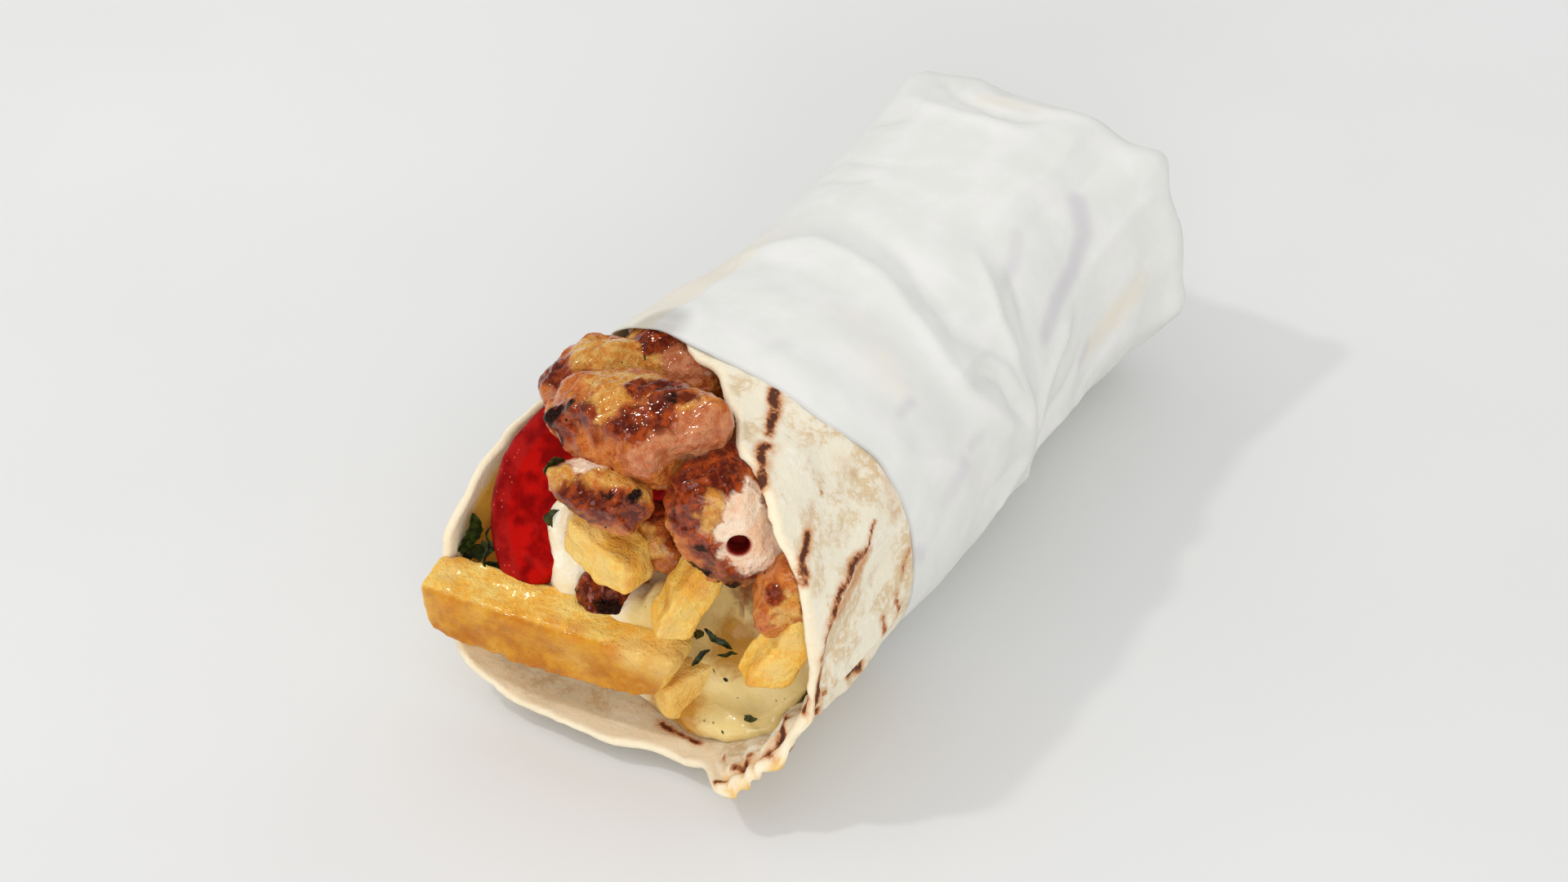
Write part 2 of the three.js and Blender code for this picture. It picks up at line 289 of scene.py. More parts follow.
def chicken_finish():
    chicken = Finish("grilled_chicken_meat")
    lumps = chicken.grain(5, 3, 0.6)
    patch = chicken.grain(2.6, 3, 0.6, distortion=0.4)
    fibre = chicken.grain(1.3, 4, 0.68, distortion=0.5)
    grit = chicken.grain(0.4, 2, 0.6)
    shift = lumps * 0.5 + patch * 0.5 + fibre * 0.3 - 0.65
    flesh = chicken.ragged("flesh", shift * 0.35, 0.22, 0.42)
    sear = chicken.ragged("sear", shift * 1.6, 0.2, 0.52)
    char = chicken.ragged("char", shift * 2.0, 0.22, 0.58)
    weave = fibre * 0.4 + patch * 0.6
    light = weave.rise(0.32, 0.66)
    pit_shade = chicken.mark("pit_shade")
    tanned = chicken.mix(patch.rise(0.35, 0.65), (208, 112, 64), (230, 152, 104))
    pale = chicken.mix(lumps.rise(0.35, 0.65), (250, 205, 168), (255, 233, 206))
    pepper = (1 - chicken.cells(5.3).rise(0.04, 0.08)) * lumps.rise(0.45, 0.6)
    colour = chicken.layers(
        chicken.mix(light, (198, 84, 24), (240, 150, 68)),
        (chicken.ragged("gold", shift, 0.25, 0.5), chicken.mix(light, (226, 132, 32), (250, 196, 104))),
        (chicken.ragged("tan", shift * 0.6, 0.24, 0.5), tanned),
        (flesh, chicken.mix((1 - fibre.rise(0.3, 0.45)) * 0.5, pale, (236, 162, 120))),
        (sear, chicken.mix(weave.rise(0.4, 0.7), (100, 24, 4), (204, 84, 24))),
        (char, chicken.mix(grit.rise(0.35, 0.7), (16, 9, 9), (66, 28, 18))),
        (pepper * 0.6, (60, 34, 16)),
        # inside the skewer's hole: the meat's red, darkened as painted shade
        (pit_shade, (150, 34, 24)),
    )
    chicken.surface(
        Base_Color=colour,
        Roughness=0.42 - 0.12 * sear + 0.12 * flesh,
        Specular_IOR_Level=0.15,
        Coat_Weight=(0.72 - 0.4 * flesh + 0.1 * (sear * light)) * (1 - 0.85 * char - pit_shade).rise(0, 1),
        Coat_Roughness=0.08,
        glow=(0.1, (1.0, 0.4, 0.2), 1.5),
        Normal=chicken.bump(fibre * 1.1 + grit * 0.6 + patch * 0.9, 1.0 - 0.6 * flesh),
    )
    return chicken.material


def fry_finish():
    fry = Finish("fried_potato_skin")
    broad = fry.grain(7, 3, 0.6)
    blister = fry.grain(1.7, 3, 0.62)
    grit = fry.grain(0.5, 2, 0.6)
    shift = broad * 0.6 + blister * 0.6 - 0.6
    pale = fry.ragged("pale", shift * 0.6, 0.15, 0.85)
    brown = fry.ragged("brown", shift * 1.4, 0.3, 0.85)
    # side is painted shade on the front fry's face towards the mouth's lower lip
    side = fry.ragged("side", shift * 0.8, 0.25, 0.85)
    pepper = 1 - fry.cells(6.5).rise(0.02, 0.05)
    colour = fry.layers(
        fry.mix((broad * 0.6 + blister * 0.4).rise(0.4, 0.62), (249, 187, 72), (255, 221, 122)),
        (side * 0.95, fry.mix(broad.rise(0.35, 0.65), (186, 106, 2), (218, 148, 20))),
        (pale * 0.8, (244, 206, 122)),
        (brown * 0.45, (214, 122, 22)),
        (pepper * 0.5, (110, 60, 25)),
    )
    fry.surface(
        Base_Color=colour,
        Roughness=0.5 - 0.1 * blister,
        Specular_IOR_Level=0.1,
        Coat_Weight=0.45,
        Coat_Roughness=0.12,
        glow=(0.12, (1.0, 0.6, 0.2), 1.5),
        Normal=fry.bump(blister * 0.9 + grit * 0.45, 0.75),
    )
    return fry.material


def tomato_finish():
    tomato = Finish("ripe_tomato")
    cloud = tomato.grain(4, 3, 0.5)
    grit = tomato.grain(0.6, 2, 0.6)
    wall = tomato.ragged("wall", (cloud - 0.5) * 0.3, 0.3, 0.7)
    soft = cloud.rise(0.35, 0.65)
    speck = (1 - tomato.cells(1.6).rise(0.06, 0.14)) * wall
    colour = tomato.layers(
        tomato.mix(soft, (128, 0, 0), (184, 10, 4)),
        (wall * 0.9, tomato.mix(soft, (126, 6, 6), (166, 24, 20))),
        (tomato.mark("skin").rise(0.3, 0.7), (140, 8, 6)),
        (speck * 0.45, (228, 130, 110)),
    )
    tomato.surface(
        Base_Color=colour,
        Roughness=0.45 - 0.1 * cloud,
        Specular_IOR_Level=0.04,
        Coat_Weight=0.1,
        Coat_Roughness=0.08,
        glow=(0.1, (1.0, 0.3, 0.2), 2),
        Normal=tomato.bump(cloud + grit * 0.25, 0.3),
    )
    return tomato.material


def sauce_finish():
    sauce = Finish("creamy_sauce")
    cloud = sauce.grain(6, 3, 0.5)
    swirl = sauce.grain(2.2, 3, 0.5, distortion=0.8)
    # brown is meat juices, and painted shade in the deep gaps between the lumps
    brown = sauce.ragged("juice_and_shade", (swirl - 0.5) * 0.7, 0.3, 0.8)
    fleck = 1 - sauce.cells(3.4).rise(0.05, 0.11)
    colour = sauce.layers(
        sauce.mix(swirl.rise(0.35, 0.7), (248, 236, 202), (254, 249, 230)),
        (sauce.ragged("mustard", (cloud - 0.5) * 0.6, 0.25, 0.8) * 0.85, (238, 210, 128)),
        # brownish-yellow sauce, partly painted shade low in the pool and under the lumps
        (sauce.ragged("amber_and_shade", (swirl - 0.5) * 0.6, 0.3, 0.8) * 0.9, (194, 134, 34)),
        (brown * 0.9, (132, 64, 24)),
        (fleck * (0.7 - 0.7 * brown), (92, 84, 26)),
    )
    sauce.surface(
        Base_Color=colour,
        Roughness=0.16,
        Specular_IOR_Level=0.35,
        Coat_Weight=0.8,
        Coat_Roughness=0.05,
        glow=(0.15, (1.0, 0.8, 0.5), 2),
        Normal=sauce.bump(swirl + cloud, 0.3),
    )
    return sauce.material


def herb_finish():
    herb = Finish("parsley_leaf")
    vein = herb.grain(1.1, 3, 0.6)
    colour = herb.mix(vein.rise(0.38, 0.66), (18, 27, 6), (58, 74, 20))
    herb.surface(
        Base_Color=colour,
        Roughness=0.34,
        Specular_IOR_Level=0.4,
        Normal=herb.bump(vein, 0.25),
    )
    return herb.material


def pepper_finish():
    pepper = Finish("ground_pepper")
    grit = pepper.grain(0.4, 2, 0.6)
    colour = pepper.mix(grit.rise(0.4, 0.6), (40, 24, 12), (96, 58, 26))
    pepper.surface(Base_Color=colour, Roughness=0.7)
    return pepper.material


def floor_finish():
    floor = Finish("pale_floor")
    cloud = floor.grain(180, 3, 0.5)
    floor.surface(
        Base_Color=floor.mix(cloud.rise(0.3, 0.7), (224, 224, 222), (228, 228, 227)),
        Roughness=0.7,
        Specular_IOR_Level=0.2,
    )
    return floor.material


# ---------------------------------------------------------------- hand tools


def only(piece):
    """Selects just this piece and makes it the active one."""
    if bpy.context.mode != "OBJECT":
        bpy.ops.object.mode_set(mode="OBJECT")
    bpy.ops.object.select_all(action="DESELECT")
    piece.select_set(True)
    bpy.context.view_layer.objects.active = piece


def edit(piece, *steps):
    """Runs edit-mode steps on the whole of a piece."""
    only(piece)
    bpy.ops.object.mode_set(mode="EDIT")
    bpy.ops.mesh.select_all(action="SELECT")
    for step, settings in steps:
        step(**settings)
    bpy.ops.object.mode_set(mode="OBJECT")


def weld(piece, distance):
    edit(piece, (bpy.ops.mesh.remove_doubles, {"threshold": distance}))


def shape(piece, kind, **settings):
    """Adds a modifier and applies it."""
    only(piece)
    modifier = piece.modifiers.new(kind.lower(), kind)
    for name, value in settings.items():
        setattr(modifier, name, value)
    bpy.ops.object.modifier_apply(modifier=modifier.name)


def join(pieces):
    """Joins the pieces into the first one."""
    only(pieces[0])
    for piece in pieces:
        piece.select_set(True)
    bpy.ops.object.join()
    return pieces[0]


def remesh(piece, voxel, rounds):
    """Gives the piece an even fine mesh and softens its sharp edges."""
    shape(piece, "REMESH", mode="VOXEL", voxel_size=voxel * MM, use_smooth_shade=True)
    shape(piece, "SMOOTH", factor=0.5, iterations=rounds)


def smooth(piece, degrees=None):
    only(piece)
    if degrees is None:
        bpy.ops.object.shade_smooth()
    else:
        bpy.ops.object.shade_smooth_by_angle(angle=math.radians(degrees))


def paint(piece, name, value_at):
    """Stores a value from 0 to 1 on every point. value_at is given the place in millimetres."""
    values = [min(1.0, max(0.0, value_at(v.co / MM))) for v in piece.data.vertices]
    piece.data.attributes.new(name, "FLOAT", "POINT").data.foreach_set("value", values)


def swell(piece, height_at):
    """Moves every point along its normal by height_at(place) millimetres."""
    points = piece.data.vertices
    moves = [v.normal * (height_at(v.co / MM) * MM) for v in points]
    for v, move in zip(points, moves):
        v.co += move
    piece.data.update()


def turned(degrees):
    """A turn about X, Y and Z."""
    turn = Matrix.Identity(3)
    for angle, axis in zip(degrees, "XYZ"):
        turn = turn @ Matrix.Rotation(math.radians(angle), 3, axis)
    return turn


def shown(spots, place, least=0.0):
    """How strongly spots show at a place, from 1 in their middles. Each spot is (x, y, z, reach)."""
    return max([least] + [1 - math.dist(place, spot[:3]) / (2 * spot[3]) for spot in spots])


def keep(piece, finish, slot, *nodes):
    """Gives the piece its finish, hangs it on the root, and hides the plain solids it takes the place of."""
    piece.data.materials.clear()
    piece.data.materials.append(finish)
    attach(piece, "root")
    if nodes:
        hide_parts(*nodes)


def copy_of(node, name):
    """A copy of a plain solid's mesh as a new piece."""
    piece = bpy.data.objects.new(name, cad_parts[node].data.copy())
    bpy.context.scene.collection.objects.link(piece)
    weld(piece, 1e-5)
    return piece


def modelled(node, name, voxel):
    """A copy of a plain solid with an even fine mesh."""
    piece = copy_of(node, name)
    remesh(piece, voxel, 3)
    return piece


# ---------------------------------------------------------------- the roll

# [y, left half width, right half width, height, lift off the table]
OUTLINE = [
    (-12, 42, 44, 70, 4),
    (20, 42, 43.5, 74, 1),
    (43, 36, 43, 73, 0),
    (62, 33.5, 41, 71, 0),
    (80, 32.5, 39.5, 68, 0),
    (98, 32, 37, 66, 0),
    (116, 33, 33.5, 65, 0),
    (134, 35, 31, 65, 0),
    (152, 37.5, 32, 64, 0),
    (170, 40, 36, 59, 2),
]
# The mouth's edge on the sheet: [angle, y]
SHEET_RIM = [
    (-81, 82), (-62, 61), (-45, 51), (-20, 48.5), (2, 40), (14, 32), (27, 23), (53, 16), (90, 13), (112, 9),
    (126, 3), (136, -2), (150, 5), (163, 5), (180, 1), (221, -1), (243, 2), (261, 8), (279, 27), (290, 34),
    (297, 50),
]
# The paper's front edge in the same form
PAPER_RIM = [
    (-90, 60), (-60, 51.5), (-40, 46), (-22, 45), (0, 42),
    (30, 43), (56, 48), (105, 50), (180, 54), (270, 60),
]
BREAD_THICKNESS = 2
BREAD_TAIL = 158
PAPER_MIDDLE = 1.1  # the paper's distance from the bread's skin
PAPER_THICKNESS = 0.3
PAPER_TAIL = 165
PAPER_CORNER = PAPER_TAIL - 4  # here the paper starts to bend over the closed end
PAPER_REACH = 38  # from that corner to the middle of the closed end
PAPER_BULGE = 4
FLAT_SPOT = 2.4
SQUARENESS = 2.3
TO_TABLE = 1.4  # from the bread's skin to the table
ON_TABLE = 0.02  # a sheet's inner skin stays this far above the table
AROUND = 0.67  # millimetres round the roll to a degree


def smooth_step(low, high, value):
    t = min(1, max(0, (value - low) / (high - low)))
    return t * t * (3 - 2 * t)


def along(table, column, value):
    """Reads one column of a table whose first column rises, easing from each row to the next."""
    if value <= table[0][0]:
        return table[0][column]
    for before, after in zip(table, table[1:]):
        if value < after[0]:
            share = smooth_step(before[0], after[0], value)
            return before[column] + (after[column] - before[column]) * share
    return table[-1][column]


def straight(table, value):
    """Reads a two-column table with straight lines between its rows."""
    for before, after in zip(table, table[1:]):
        if value <= after[0]:
            share = (value - before[0]) / (after[0] - before[0])
            return before[1] + (after[1] - before[1]) * share
    return table[-1][1]


def roll_point(angle, y, offset):
    """A place on the roll, moved out from the bread's skin by offset."""
    s, c = math.sin(math.radians(angle)), math.cos(math.radians(angle))
    power = 2 / SQUARENESS
    side = along(OUTLINE, 2 if s > 0 else 1, y) + offset
    lift = along(OUTLINE, 4, y)
    low = lift + TO_TABLE - offset
    top = lift + along(OUTLINE, 3, y) + offset
    middle = (low - FLAT_SPOT + top) / 2
    x = math.copysign(side * abs(s) ** power, s)
    z = middle + math.copysign((top - middle) * abs(c) ** power, c)
    return Vector((x, y, max(z, low)))


class SheetLine:
    """A line drawn on the rolled sheet, as a path of (angle, y)."""

    def __init__(self, path, reach):
        self.path = [(angle * AROUND, y) for angle, y in path]
        self.low = [min(point[i] for point in self.path) - reach for i in (0, 1)]
        self.high = [max(point[i] for point in self.path) + reach for i in (0, 1)]

    def near(self, around, y):
        return self.low[0] < around < self.high[0] and self.low[1] < y < self.high[1]

    def nearest(self, around, y):
        """How far a spot is from the line, the share of the line passed there, and the side it is on:
        1 to the left of someone who walks the line, seen from outside."""
        best = (1e9, 0, 1)
        for i, (start, end) in enumerate(zip(self.path, self.path[1:])):
            run = (end[0] - start[0], end[1] - start[1])
            reach = (around - start[0], y - start[1])
            length = max(run[0] ** 2 + run[1] ** 2, 1e-9)
            share = min(1, max(0, (reach[0] * run[0] + reach[1] * run[1]) / length))
            gap = math.hypot(reach[0] - share * run[0], reach[1] - share * run[1])
            if gap < best[0]:
                side = run[0] * reach[1] - run[1] * reach[0]
                best = (gap, (i + share) / (len(self.path) - 1), 1 if side >= 0 else -1)
        return best


def ends_off(share):
    """Fades a line out at both ends."""
    return smooth_step(-0.15, 0.2, share) * (1 - smooth_step(0.8, 1.15, share))


def drawn(table):
    """Makes the lines of a table of creases or strokes."""
    lines = []
    for strength, width, path, *reach in table:
        lines.append((strength, width, SheetLine(path, reach[0] if reach else 5 * width), reach))
    return lines


def crease_height(angle, y, creases):
    """The height that ridges, valleys and steps give a spot. Each is (height, width, path); a step also has
    how far its high side reaches."""
    height, around = 0, angle * AROUND
    for high, width, line, reach in creases:
        if not line.near(around, y):
            continue
        gap, share, side = line.nearest(around, y)
        if reach:
            inside = smooth_step(-width, width, side * gap)
            height += high * inside * (1 - smooth_step(0.2 * reach[0], reach[0], gap)) * ends_off(share)
        else:
            height += high * math.exp(-1.3 * (math.hypot(gap / width, 0.2) - 0.2)) * ends_off(share)
    return height


def stroke_mark(angle, y, strokes, spread=1.7):
    """How strongly the brush strokes mark a spot. Each is (strength, width, path)."""
    mark, around = 0, angle * AROUND
    for strength, width, line, _ in strokes:
        if line.near(around, y):
            mark = max(mark, strength * math.exp(-((line.nearest(around, y)[0] / (spread * width)) ** 2)))
    return mark


def uneven(place, size, seed=0.0):
    """Smooth noise from -1 to 1 with bumps of about this size."""
    return noise.noise(Vector(place) / size + Vector((seed, seed * 1.7, seed * 0.3)))


def thin_edge(distance, radius):
    """Half thickness of a sheet, as a share, near a rounded edge."""
    reach = min(1, max(0, distance / radius))
    return math.sqrt(1 - (1 - reach) ** 2)


def start_sheet(name, columns, rows, spread):
    """A flat grid that becomes a closed sheet, and each of its points with its angle round the roll, its
    share of the way to the tail, and whether it lines the inside, as half of the rows do."""
    bpy.ops.mesh.primitive_grid_add(x_subdivisions=columns, y_subdivisions=rows, size=2)
    sheet = bpy.context.object
    sheet.name = name
    points = []
    for v in sheet.data.vertices:
        across, down = (v.co.x + 1) / 2, (v.co.y + 1) / 2
        points.append((v, straight(spread, across), round(abs(2 * down - 1), 5), down < 0.5))
    return sheet, points


def close_sheet(sheet, marks, finish, slot, node):
    """Stores the marks on the points and joins the sheet's edges."""
    for name, values in marks.items():
        sheet.data.attributes.new(name, "FLOAT", "POINT").data.foreach_set("value", values)
    weld(sheet, 2e-6)
    edit(sheet, (bpy.ops.mesh.normals_make_consistent, {"inside": False}))
    smooth(sheet)
    keep(sheet, finish, slot, node)


# ---------------------------------------------------------------- the flatbread

# Grill marks: (strength, half width, path of (angle, y))
CHAR_STROKES = [
    (0.97, 0.69, [(18, 42), (21, 39), (23, 35), (25, 32)]),
    (0.97, 0.85, [(28, 29), (29, 26), (32, 23), (35, 21)]),
    (0.42, 0.66, [(50, 27.5), (54, 23.5)]),
    (0.97, 0.75, [(56, 22), (60, 18.5), (63, 17)]),
    (0.67, 0.4, [(47, 32), (48, 31.5)]),
    (0.92, 0.36, [(66, 38.5), (69, 35.5)]),
    (0.84, 0.7, [(70, 34.5), (72, 31), (75, 26)]),
    (0.78, 0.7, [(75, 25), (80, 20)]),
    (0.71, 0.56, [(81, 19), (85, 16.5), (89, 15)]),
    (0.71, 0.53, [(62, 16.5), (66, 15.5)]),
    (0.59, 0.73, [(86, 48), (90, 46)]),
    (0.76, 0.73, [(93, 43), (100, 44.5), (108, 45)]),
    (0.76, 0.53, [(97, 38), (103, 38), (106, 34), (107, 28)]),
    (0.84, 0.59, [(111, 37), (116, 35), (113, 30)]),
    (0.8, 0.46, [(92, 15), (95, 14), (99, 13)]),
    (0.88, 0.53, [(105, 22), (108, 21), (110, 18), (114, 17)]),
    (0.97, 0.59, [(95, 14), (104, 12)]),
    (0.76, 0.46, [(121, 7), (125, 5)]),
    (0.76, 0.4, [(134, 1), (138, 0)]),
    (0.9, 0.5, [(124, 6), (119, 9.5), (116, 14)]),
    (0.85, 0.45, [(133, 3), (130, 6.5)]),
    (0.8, 0.4, [(104, 13), (101, 18)]),
    (0.7, 0.35, [(141, 6), (143, 7.5)]),
    (0.97, 0.66, [(170, 12.2), (165, 11.6)]),
    (0.88, 0.53, [(163.5, 11.6), (156, 11.2)]),
    (0.67, 0.4, [(206, 3), (208, 3.5)]),
    (0.38, 1.1, [(55, 47), (58, 47)]),
    (0.29, 1.1, [(58, 52), (62, 50)]),
    (0.76, 0.66, [(41, 141), (53, 137), (60, 130), (64, 118), (70, 112)]),
    (0.76, 0.66, [(33, 121), (40, 112), (42, 106)]),
    (0.84, 0.66, [(150, 26), (158, 34), (163, 43)]),
    (0.76, 0.59, [(171, 18), (180, 26), (184, 35)]),
    (0.84, 0.66, [(200, 30), (209, 37), (215, 47)]),
    (0.8, 0.66, [(236, 18), (243, 27), (247, 38)]),
    (0.88, 0.66, [(262, 24), (266, 36), (268, 47)]),
    (0.67, 0.59, [(222, 12), (228, 18)]),
]
# Golden smears beside them
TOASTED = [
    (0.75, 1.3, [(72, 35), (75, 32), (78, 27.5), (82, 22.5)]),
    (0.6, 1.2, [(100, 42), (106, 41), (110, 35)]),
    (0.5, 1.0, [(30, 30), (33, 25)]),
    (0.45, 1.5, [(60, 47), (68, 46)]),
    (0.4, 1.3, [(44, 40), (50, 42)]),
    (0.5, 1.4, [(205, 34), (213, 44)]),
]
CHAR_STROKES, TOASTED = drawn(CHAR_STROKES), drawn(TOASTED)
# Folds where the sheet is gathered beside the mouth: (height, width, path)
BREAD_FOLDS = [
    (1.1, 3.2, [(64, 42), (69, 34), (76, 24), (84, 17), (93, 12)]),
    (-0.9, 3.0, [(80, 44), (86, 33), (92, 23), (97, 14)]),
    (1.2, 2.6, [(97, 47), (102, 38), (105, 28), (104, 19), (100, 12)]),
    (-1.0, 2.2, [(108, 44), (111, 34), (109, 24), (105, 14)]),
    (1.3, 2.4, [(117, 42), (118, 32), (115, 22), (109, 13)]),
    (-0.9, 2.2, [(127, 38), (126, 28), (121, 18), (114, 10)]),
    (0.9, 2.2, [(136, 30), (133, 20), (126, 10)]),
    (0.7, 5, [(34, 60), (36, 44), (33, 26)]),
    (-0.5, 5, [(50, 60), (52, 44), (50, 24)]),
    (0.8, 4, [(205, 50), (214, 30), (219, 8)]),
    (-0.6, 4, [(192, 50), (197, 28), (200, 8)]),
    (0.8, 4, [(248, 50), (252, 32), (250, 12)]),
]
BREAD_FOLDS = drawn(BREAD_FOLDS)
# How the columns of the sheet's mesh are shared out: more of them where the mouth shows
SHEET_COLUMNS = [(0, -81), (0.13, -12), (0.72, 140), (1, 297)]
SHEET_START, SHEET_END = 297, -81
# The sheet's last edge slips under its first one between these angles, and fully so past the second y.
TUCK = (250, 275)
TUCK_Y = (40, 70)
TUCK_GAP = 1.05
GATHERED = (126, -7)
NOSE = (128, 2)  # the point of the lip


def pleats(angle, y):
    """Sharp little folds that run together at the gathered point: their height, and how near a spot is to
    a crest."""
    across, back = (angle - GATHERED[0]) * AROUND, y - GATHERED[1]
    away, turn = math.hypot(across, back), math.atan2(across, back)
    wave = abs(math.sin(turn * 8 + 2.2 * uneven((turn * 2, away * 0.05, 0), 1, 5)))
    fade = smooth_step(27, 9, away)
    return (0.6 - wave) * 1.1 * fade, (1 - wave) ** 2 * fade


def make_bread(finish):
    bread, points = start_sheet("rolled_flatbread", 300, 244, SHEET_COLUMNS)
    marks = {"char": [], "toast": [], "lip": [], "golden": [], "oil_and_glow": []}
    for v, angle, t, inner in points:
        rim = (
            along(SHEET_RIM, 1, angle)
            + 0.7 * uneven((angle * 0.12, 0, 0), 1, 3)
            + 0.35 * uneven((angle * 0.4, 5, 0), 1)
        )
        y = rim + (BREAD_TAIL - rim) * (0.4 * t + 0.6 * t * t)
        deep, spot = y - rim, (angle * AROUND, y, 0)
        edge = min(deep, BREAD_TAIL - y, (SHEET_START - angle) * AROUND, (angle - SHEET_END) * AROUND)
        thick = thin_edge(edge, 1.2)
        past_paper = y - along(PAPER_RIM, 1, angle)
        covered = smooth_step(-7, 2, past_paper)
        tuck = (BREAD_THICKNESS + TUCK_GAP) * smooth_step(*TUCK, angle) * smooth_step(*TUCK_Y, y)
        fold, crest = pleats(angle, y)
        hem = smooth_step(84, 104, angle) * (1 - smooth_step(130, 150, angle))
        ripple = math.sin(0.95 * deep + 1.6 * uneven(spot, 7, 6))
        ridge = (1 - 1.6 * abs(ripple)) * hem * smooth_step(16, 5, deep)
        lie = crease_height(angle, y, BREAD_FOLDS) * 1.35 * (1 - covered) * smooth_step(-3, 3, deep)
        lie += fold * (1 - covered)
        lie += 3.3 * hem * (1 - smooth_step(-2, 10, deep)) ** 1.5
        lie += 0.65 * ridge
        lie += 0.3 * math.exp(-((past_paper / 2.5) ** 2))
        lie += (0.6 * uneven(spot, 13, 1) + 0.35 * uneven(spot, 6, 8)) * (1 - 0.92 * covered)
        blister = 0.28 * uneven(spot, 4.5, 2) + 0.12 * uneven(spot, 1.7, 4)
        offset = -BREAD_THICKNESS / 2 - tuck + lie - 0.15
        offset += thick * (blister * (1 - 0.6 * covered) + 0.92) * (-1 if inner else 1)
        place = roll_point(angle, y, offset) + FROM_ROLL
        place.z = max(place.z, ON_TABLE * thick if inner else 0)
        v.co = place * MM
        wander = (angle + 2.2 * uneven(spot, 5, 7), y + 1.0 * uneven(spot, 4, 9))
        # The grill marks are on the outer skin, but on the inner one where the mouth shows it.
        marked = edge < 2 or hem > 0.3 or inner == (150 < angle < 195)
        toast = max(stroke_mark(*wander, CHAR_STROKES, 2.4), stroke_mark(*wander, TOASTED)) if marked else 0
        from_nose = math.hypot((angle - NOSE[0]) * AROUND, y - NOSE[1])
        marks["char"].append(stroke_mark(*wander, CHAR_STROKES) if marked else 0)
        marks["toast"].append(toast)
        # The pale lip reaches further on the inside, where it also stands in as painted light on the shaded
        # lip.
        marks["lip"].append(1 - smooth_step(0, 12 if inner else 4, deep))
        marks["golden"].append(0.3 * (1 - smooth_step(2, 8, from_nose)) + 0.6 * crest + 0.5 * max(0, ridge))
        # Oil stain and painted glow on the inside of the left wall, rising away from the mouth's edge
        marks["oil_and_glow"].append(smooth_step(210, 245, angle) * smooth_step(0, 12, deep) if inner else 0)
    close_sheet(bread, marks, finish, "flatbread", "flatbread")


# ---------------------------------------------------------------- the paper

# Ridges and valleys: (height, width, path); steps also have a reach
PAPER_CREASES = [
    (1.5, 4.5, [(-30, 78), (-10, 89), (10, 87), (26, 82), (44, 79), (58, 80), (78, 90), (90, 98)]),
    (-1.2, 4.5, [(-8, 100), (8, 97), (24, 91), (40, 88), (52, 92), (66, 99), (84, 104)]),
    (1.0, 1.8, [(50, 80), (50, 85), (52, 91), (60, 95), (71, 96), (84, 100)]),
    (-0.8, 1.6, [(56, 82), (57, 87), (63, 91), (73, 92), (86, 98)]),
    (1.3, 2.4, [(28, 108), (48, 100), (64, 99), (78, 100), (92, 101)]),
    (-1.0, 2.2, [(40, 112), (58, 107), (76, 105), (92, 103)]),
    (1.2, 2.2, [(70, 124), (78, 116), (86, 108), (95, 103)]),
    (-1.0, 2.0, [(90, 126), (94, 117), (97, 108), (98, 103)]),
    (1.2, 2.0, [(114, 137), (106, 121), (103, 112), (99, 104)]),
    (-0.9, 2.2, [(128, 126), (118, 114), (108, 106)]),
    (1.1, 2.6, [(140, 112), (124, 106), (108, 103)]),
    (1.0, 2.4, [(104, 84), (101, 92), (98, 100)]),
    (-0.9, 2.4, [(92, 78), (94, 88), (96, 98)]),
    (-1.5, 1.6, [(328, 160), (339, 154), (348, 151.5), (357, 150), (363, 152), (368, 155)]),
    (1.2, 2.6, [(322, 152), (336, 146), (350, 144), (366, 147)]),
    (0.9, 2.4, [(338, 163), (352, 158), (366, 159), (380, 163)]),
    (-0.8, 1.0, [(303, 145), (314, 142), (324, 140), (333, 141)]),
    (-0.6, 0.9, [(316, 125), (333, 122), (347, 122)]),
    (-0.5, 0.9, [(317, 117), (335, 114), (344, 116)]),
    (0.8, 3.5, [(54, 51), (60, 57), (68, 64), (80, 73)]),
    (0.45, 0.35, [(72, 160), (80, 153), (89, 146), (98, 140), (107, 131), (110, 124)], 14),
    (-0.4, 0.5, [(337, 50), (338, 60), (336, 72), (326, 84), (314, 99)], 16),
    (0.9, 3.5, [(20, 160), (26, 140), (22, 122)]),
    (-0.6, 3.5, [(34, 160), (38, 142), (34, 126)]),
    (0.8, 3.0, [(56, 160), (60, 146), (66, 132)]),
    (1.0, 3.0, [(200, 70), (214, 84), (222, 100), (226, 118)]),
    (-0.8, 2.6, [(214, 70), (228, 86), (236, 104)]),
    (1.0, 3.0, [(240, 150), (252, 130), (262, 108), (266, 90)]),
    (-0.8, 2.6, [(256, 152), (266, 134), (276, 112)]),
    (1.1, 3.0, [(284, 160), (288, 138), (284, 116)]),
    (0.9, 2.6, [(150, 62), (160, 80), (164, 100)]),
    (0.45, 0.4, [(236, 62), (244, 90), (250, 124), (252, 160)], 16),
]
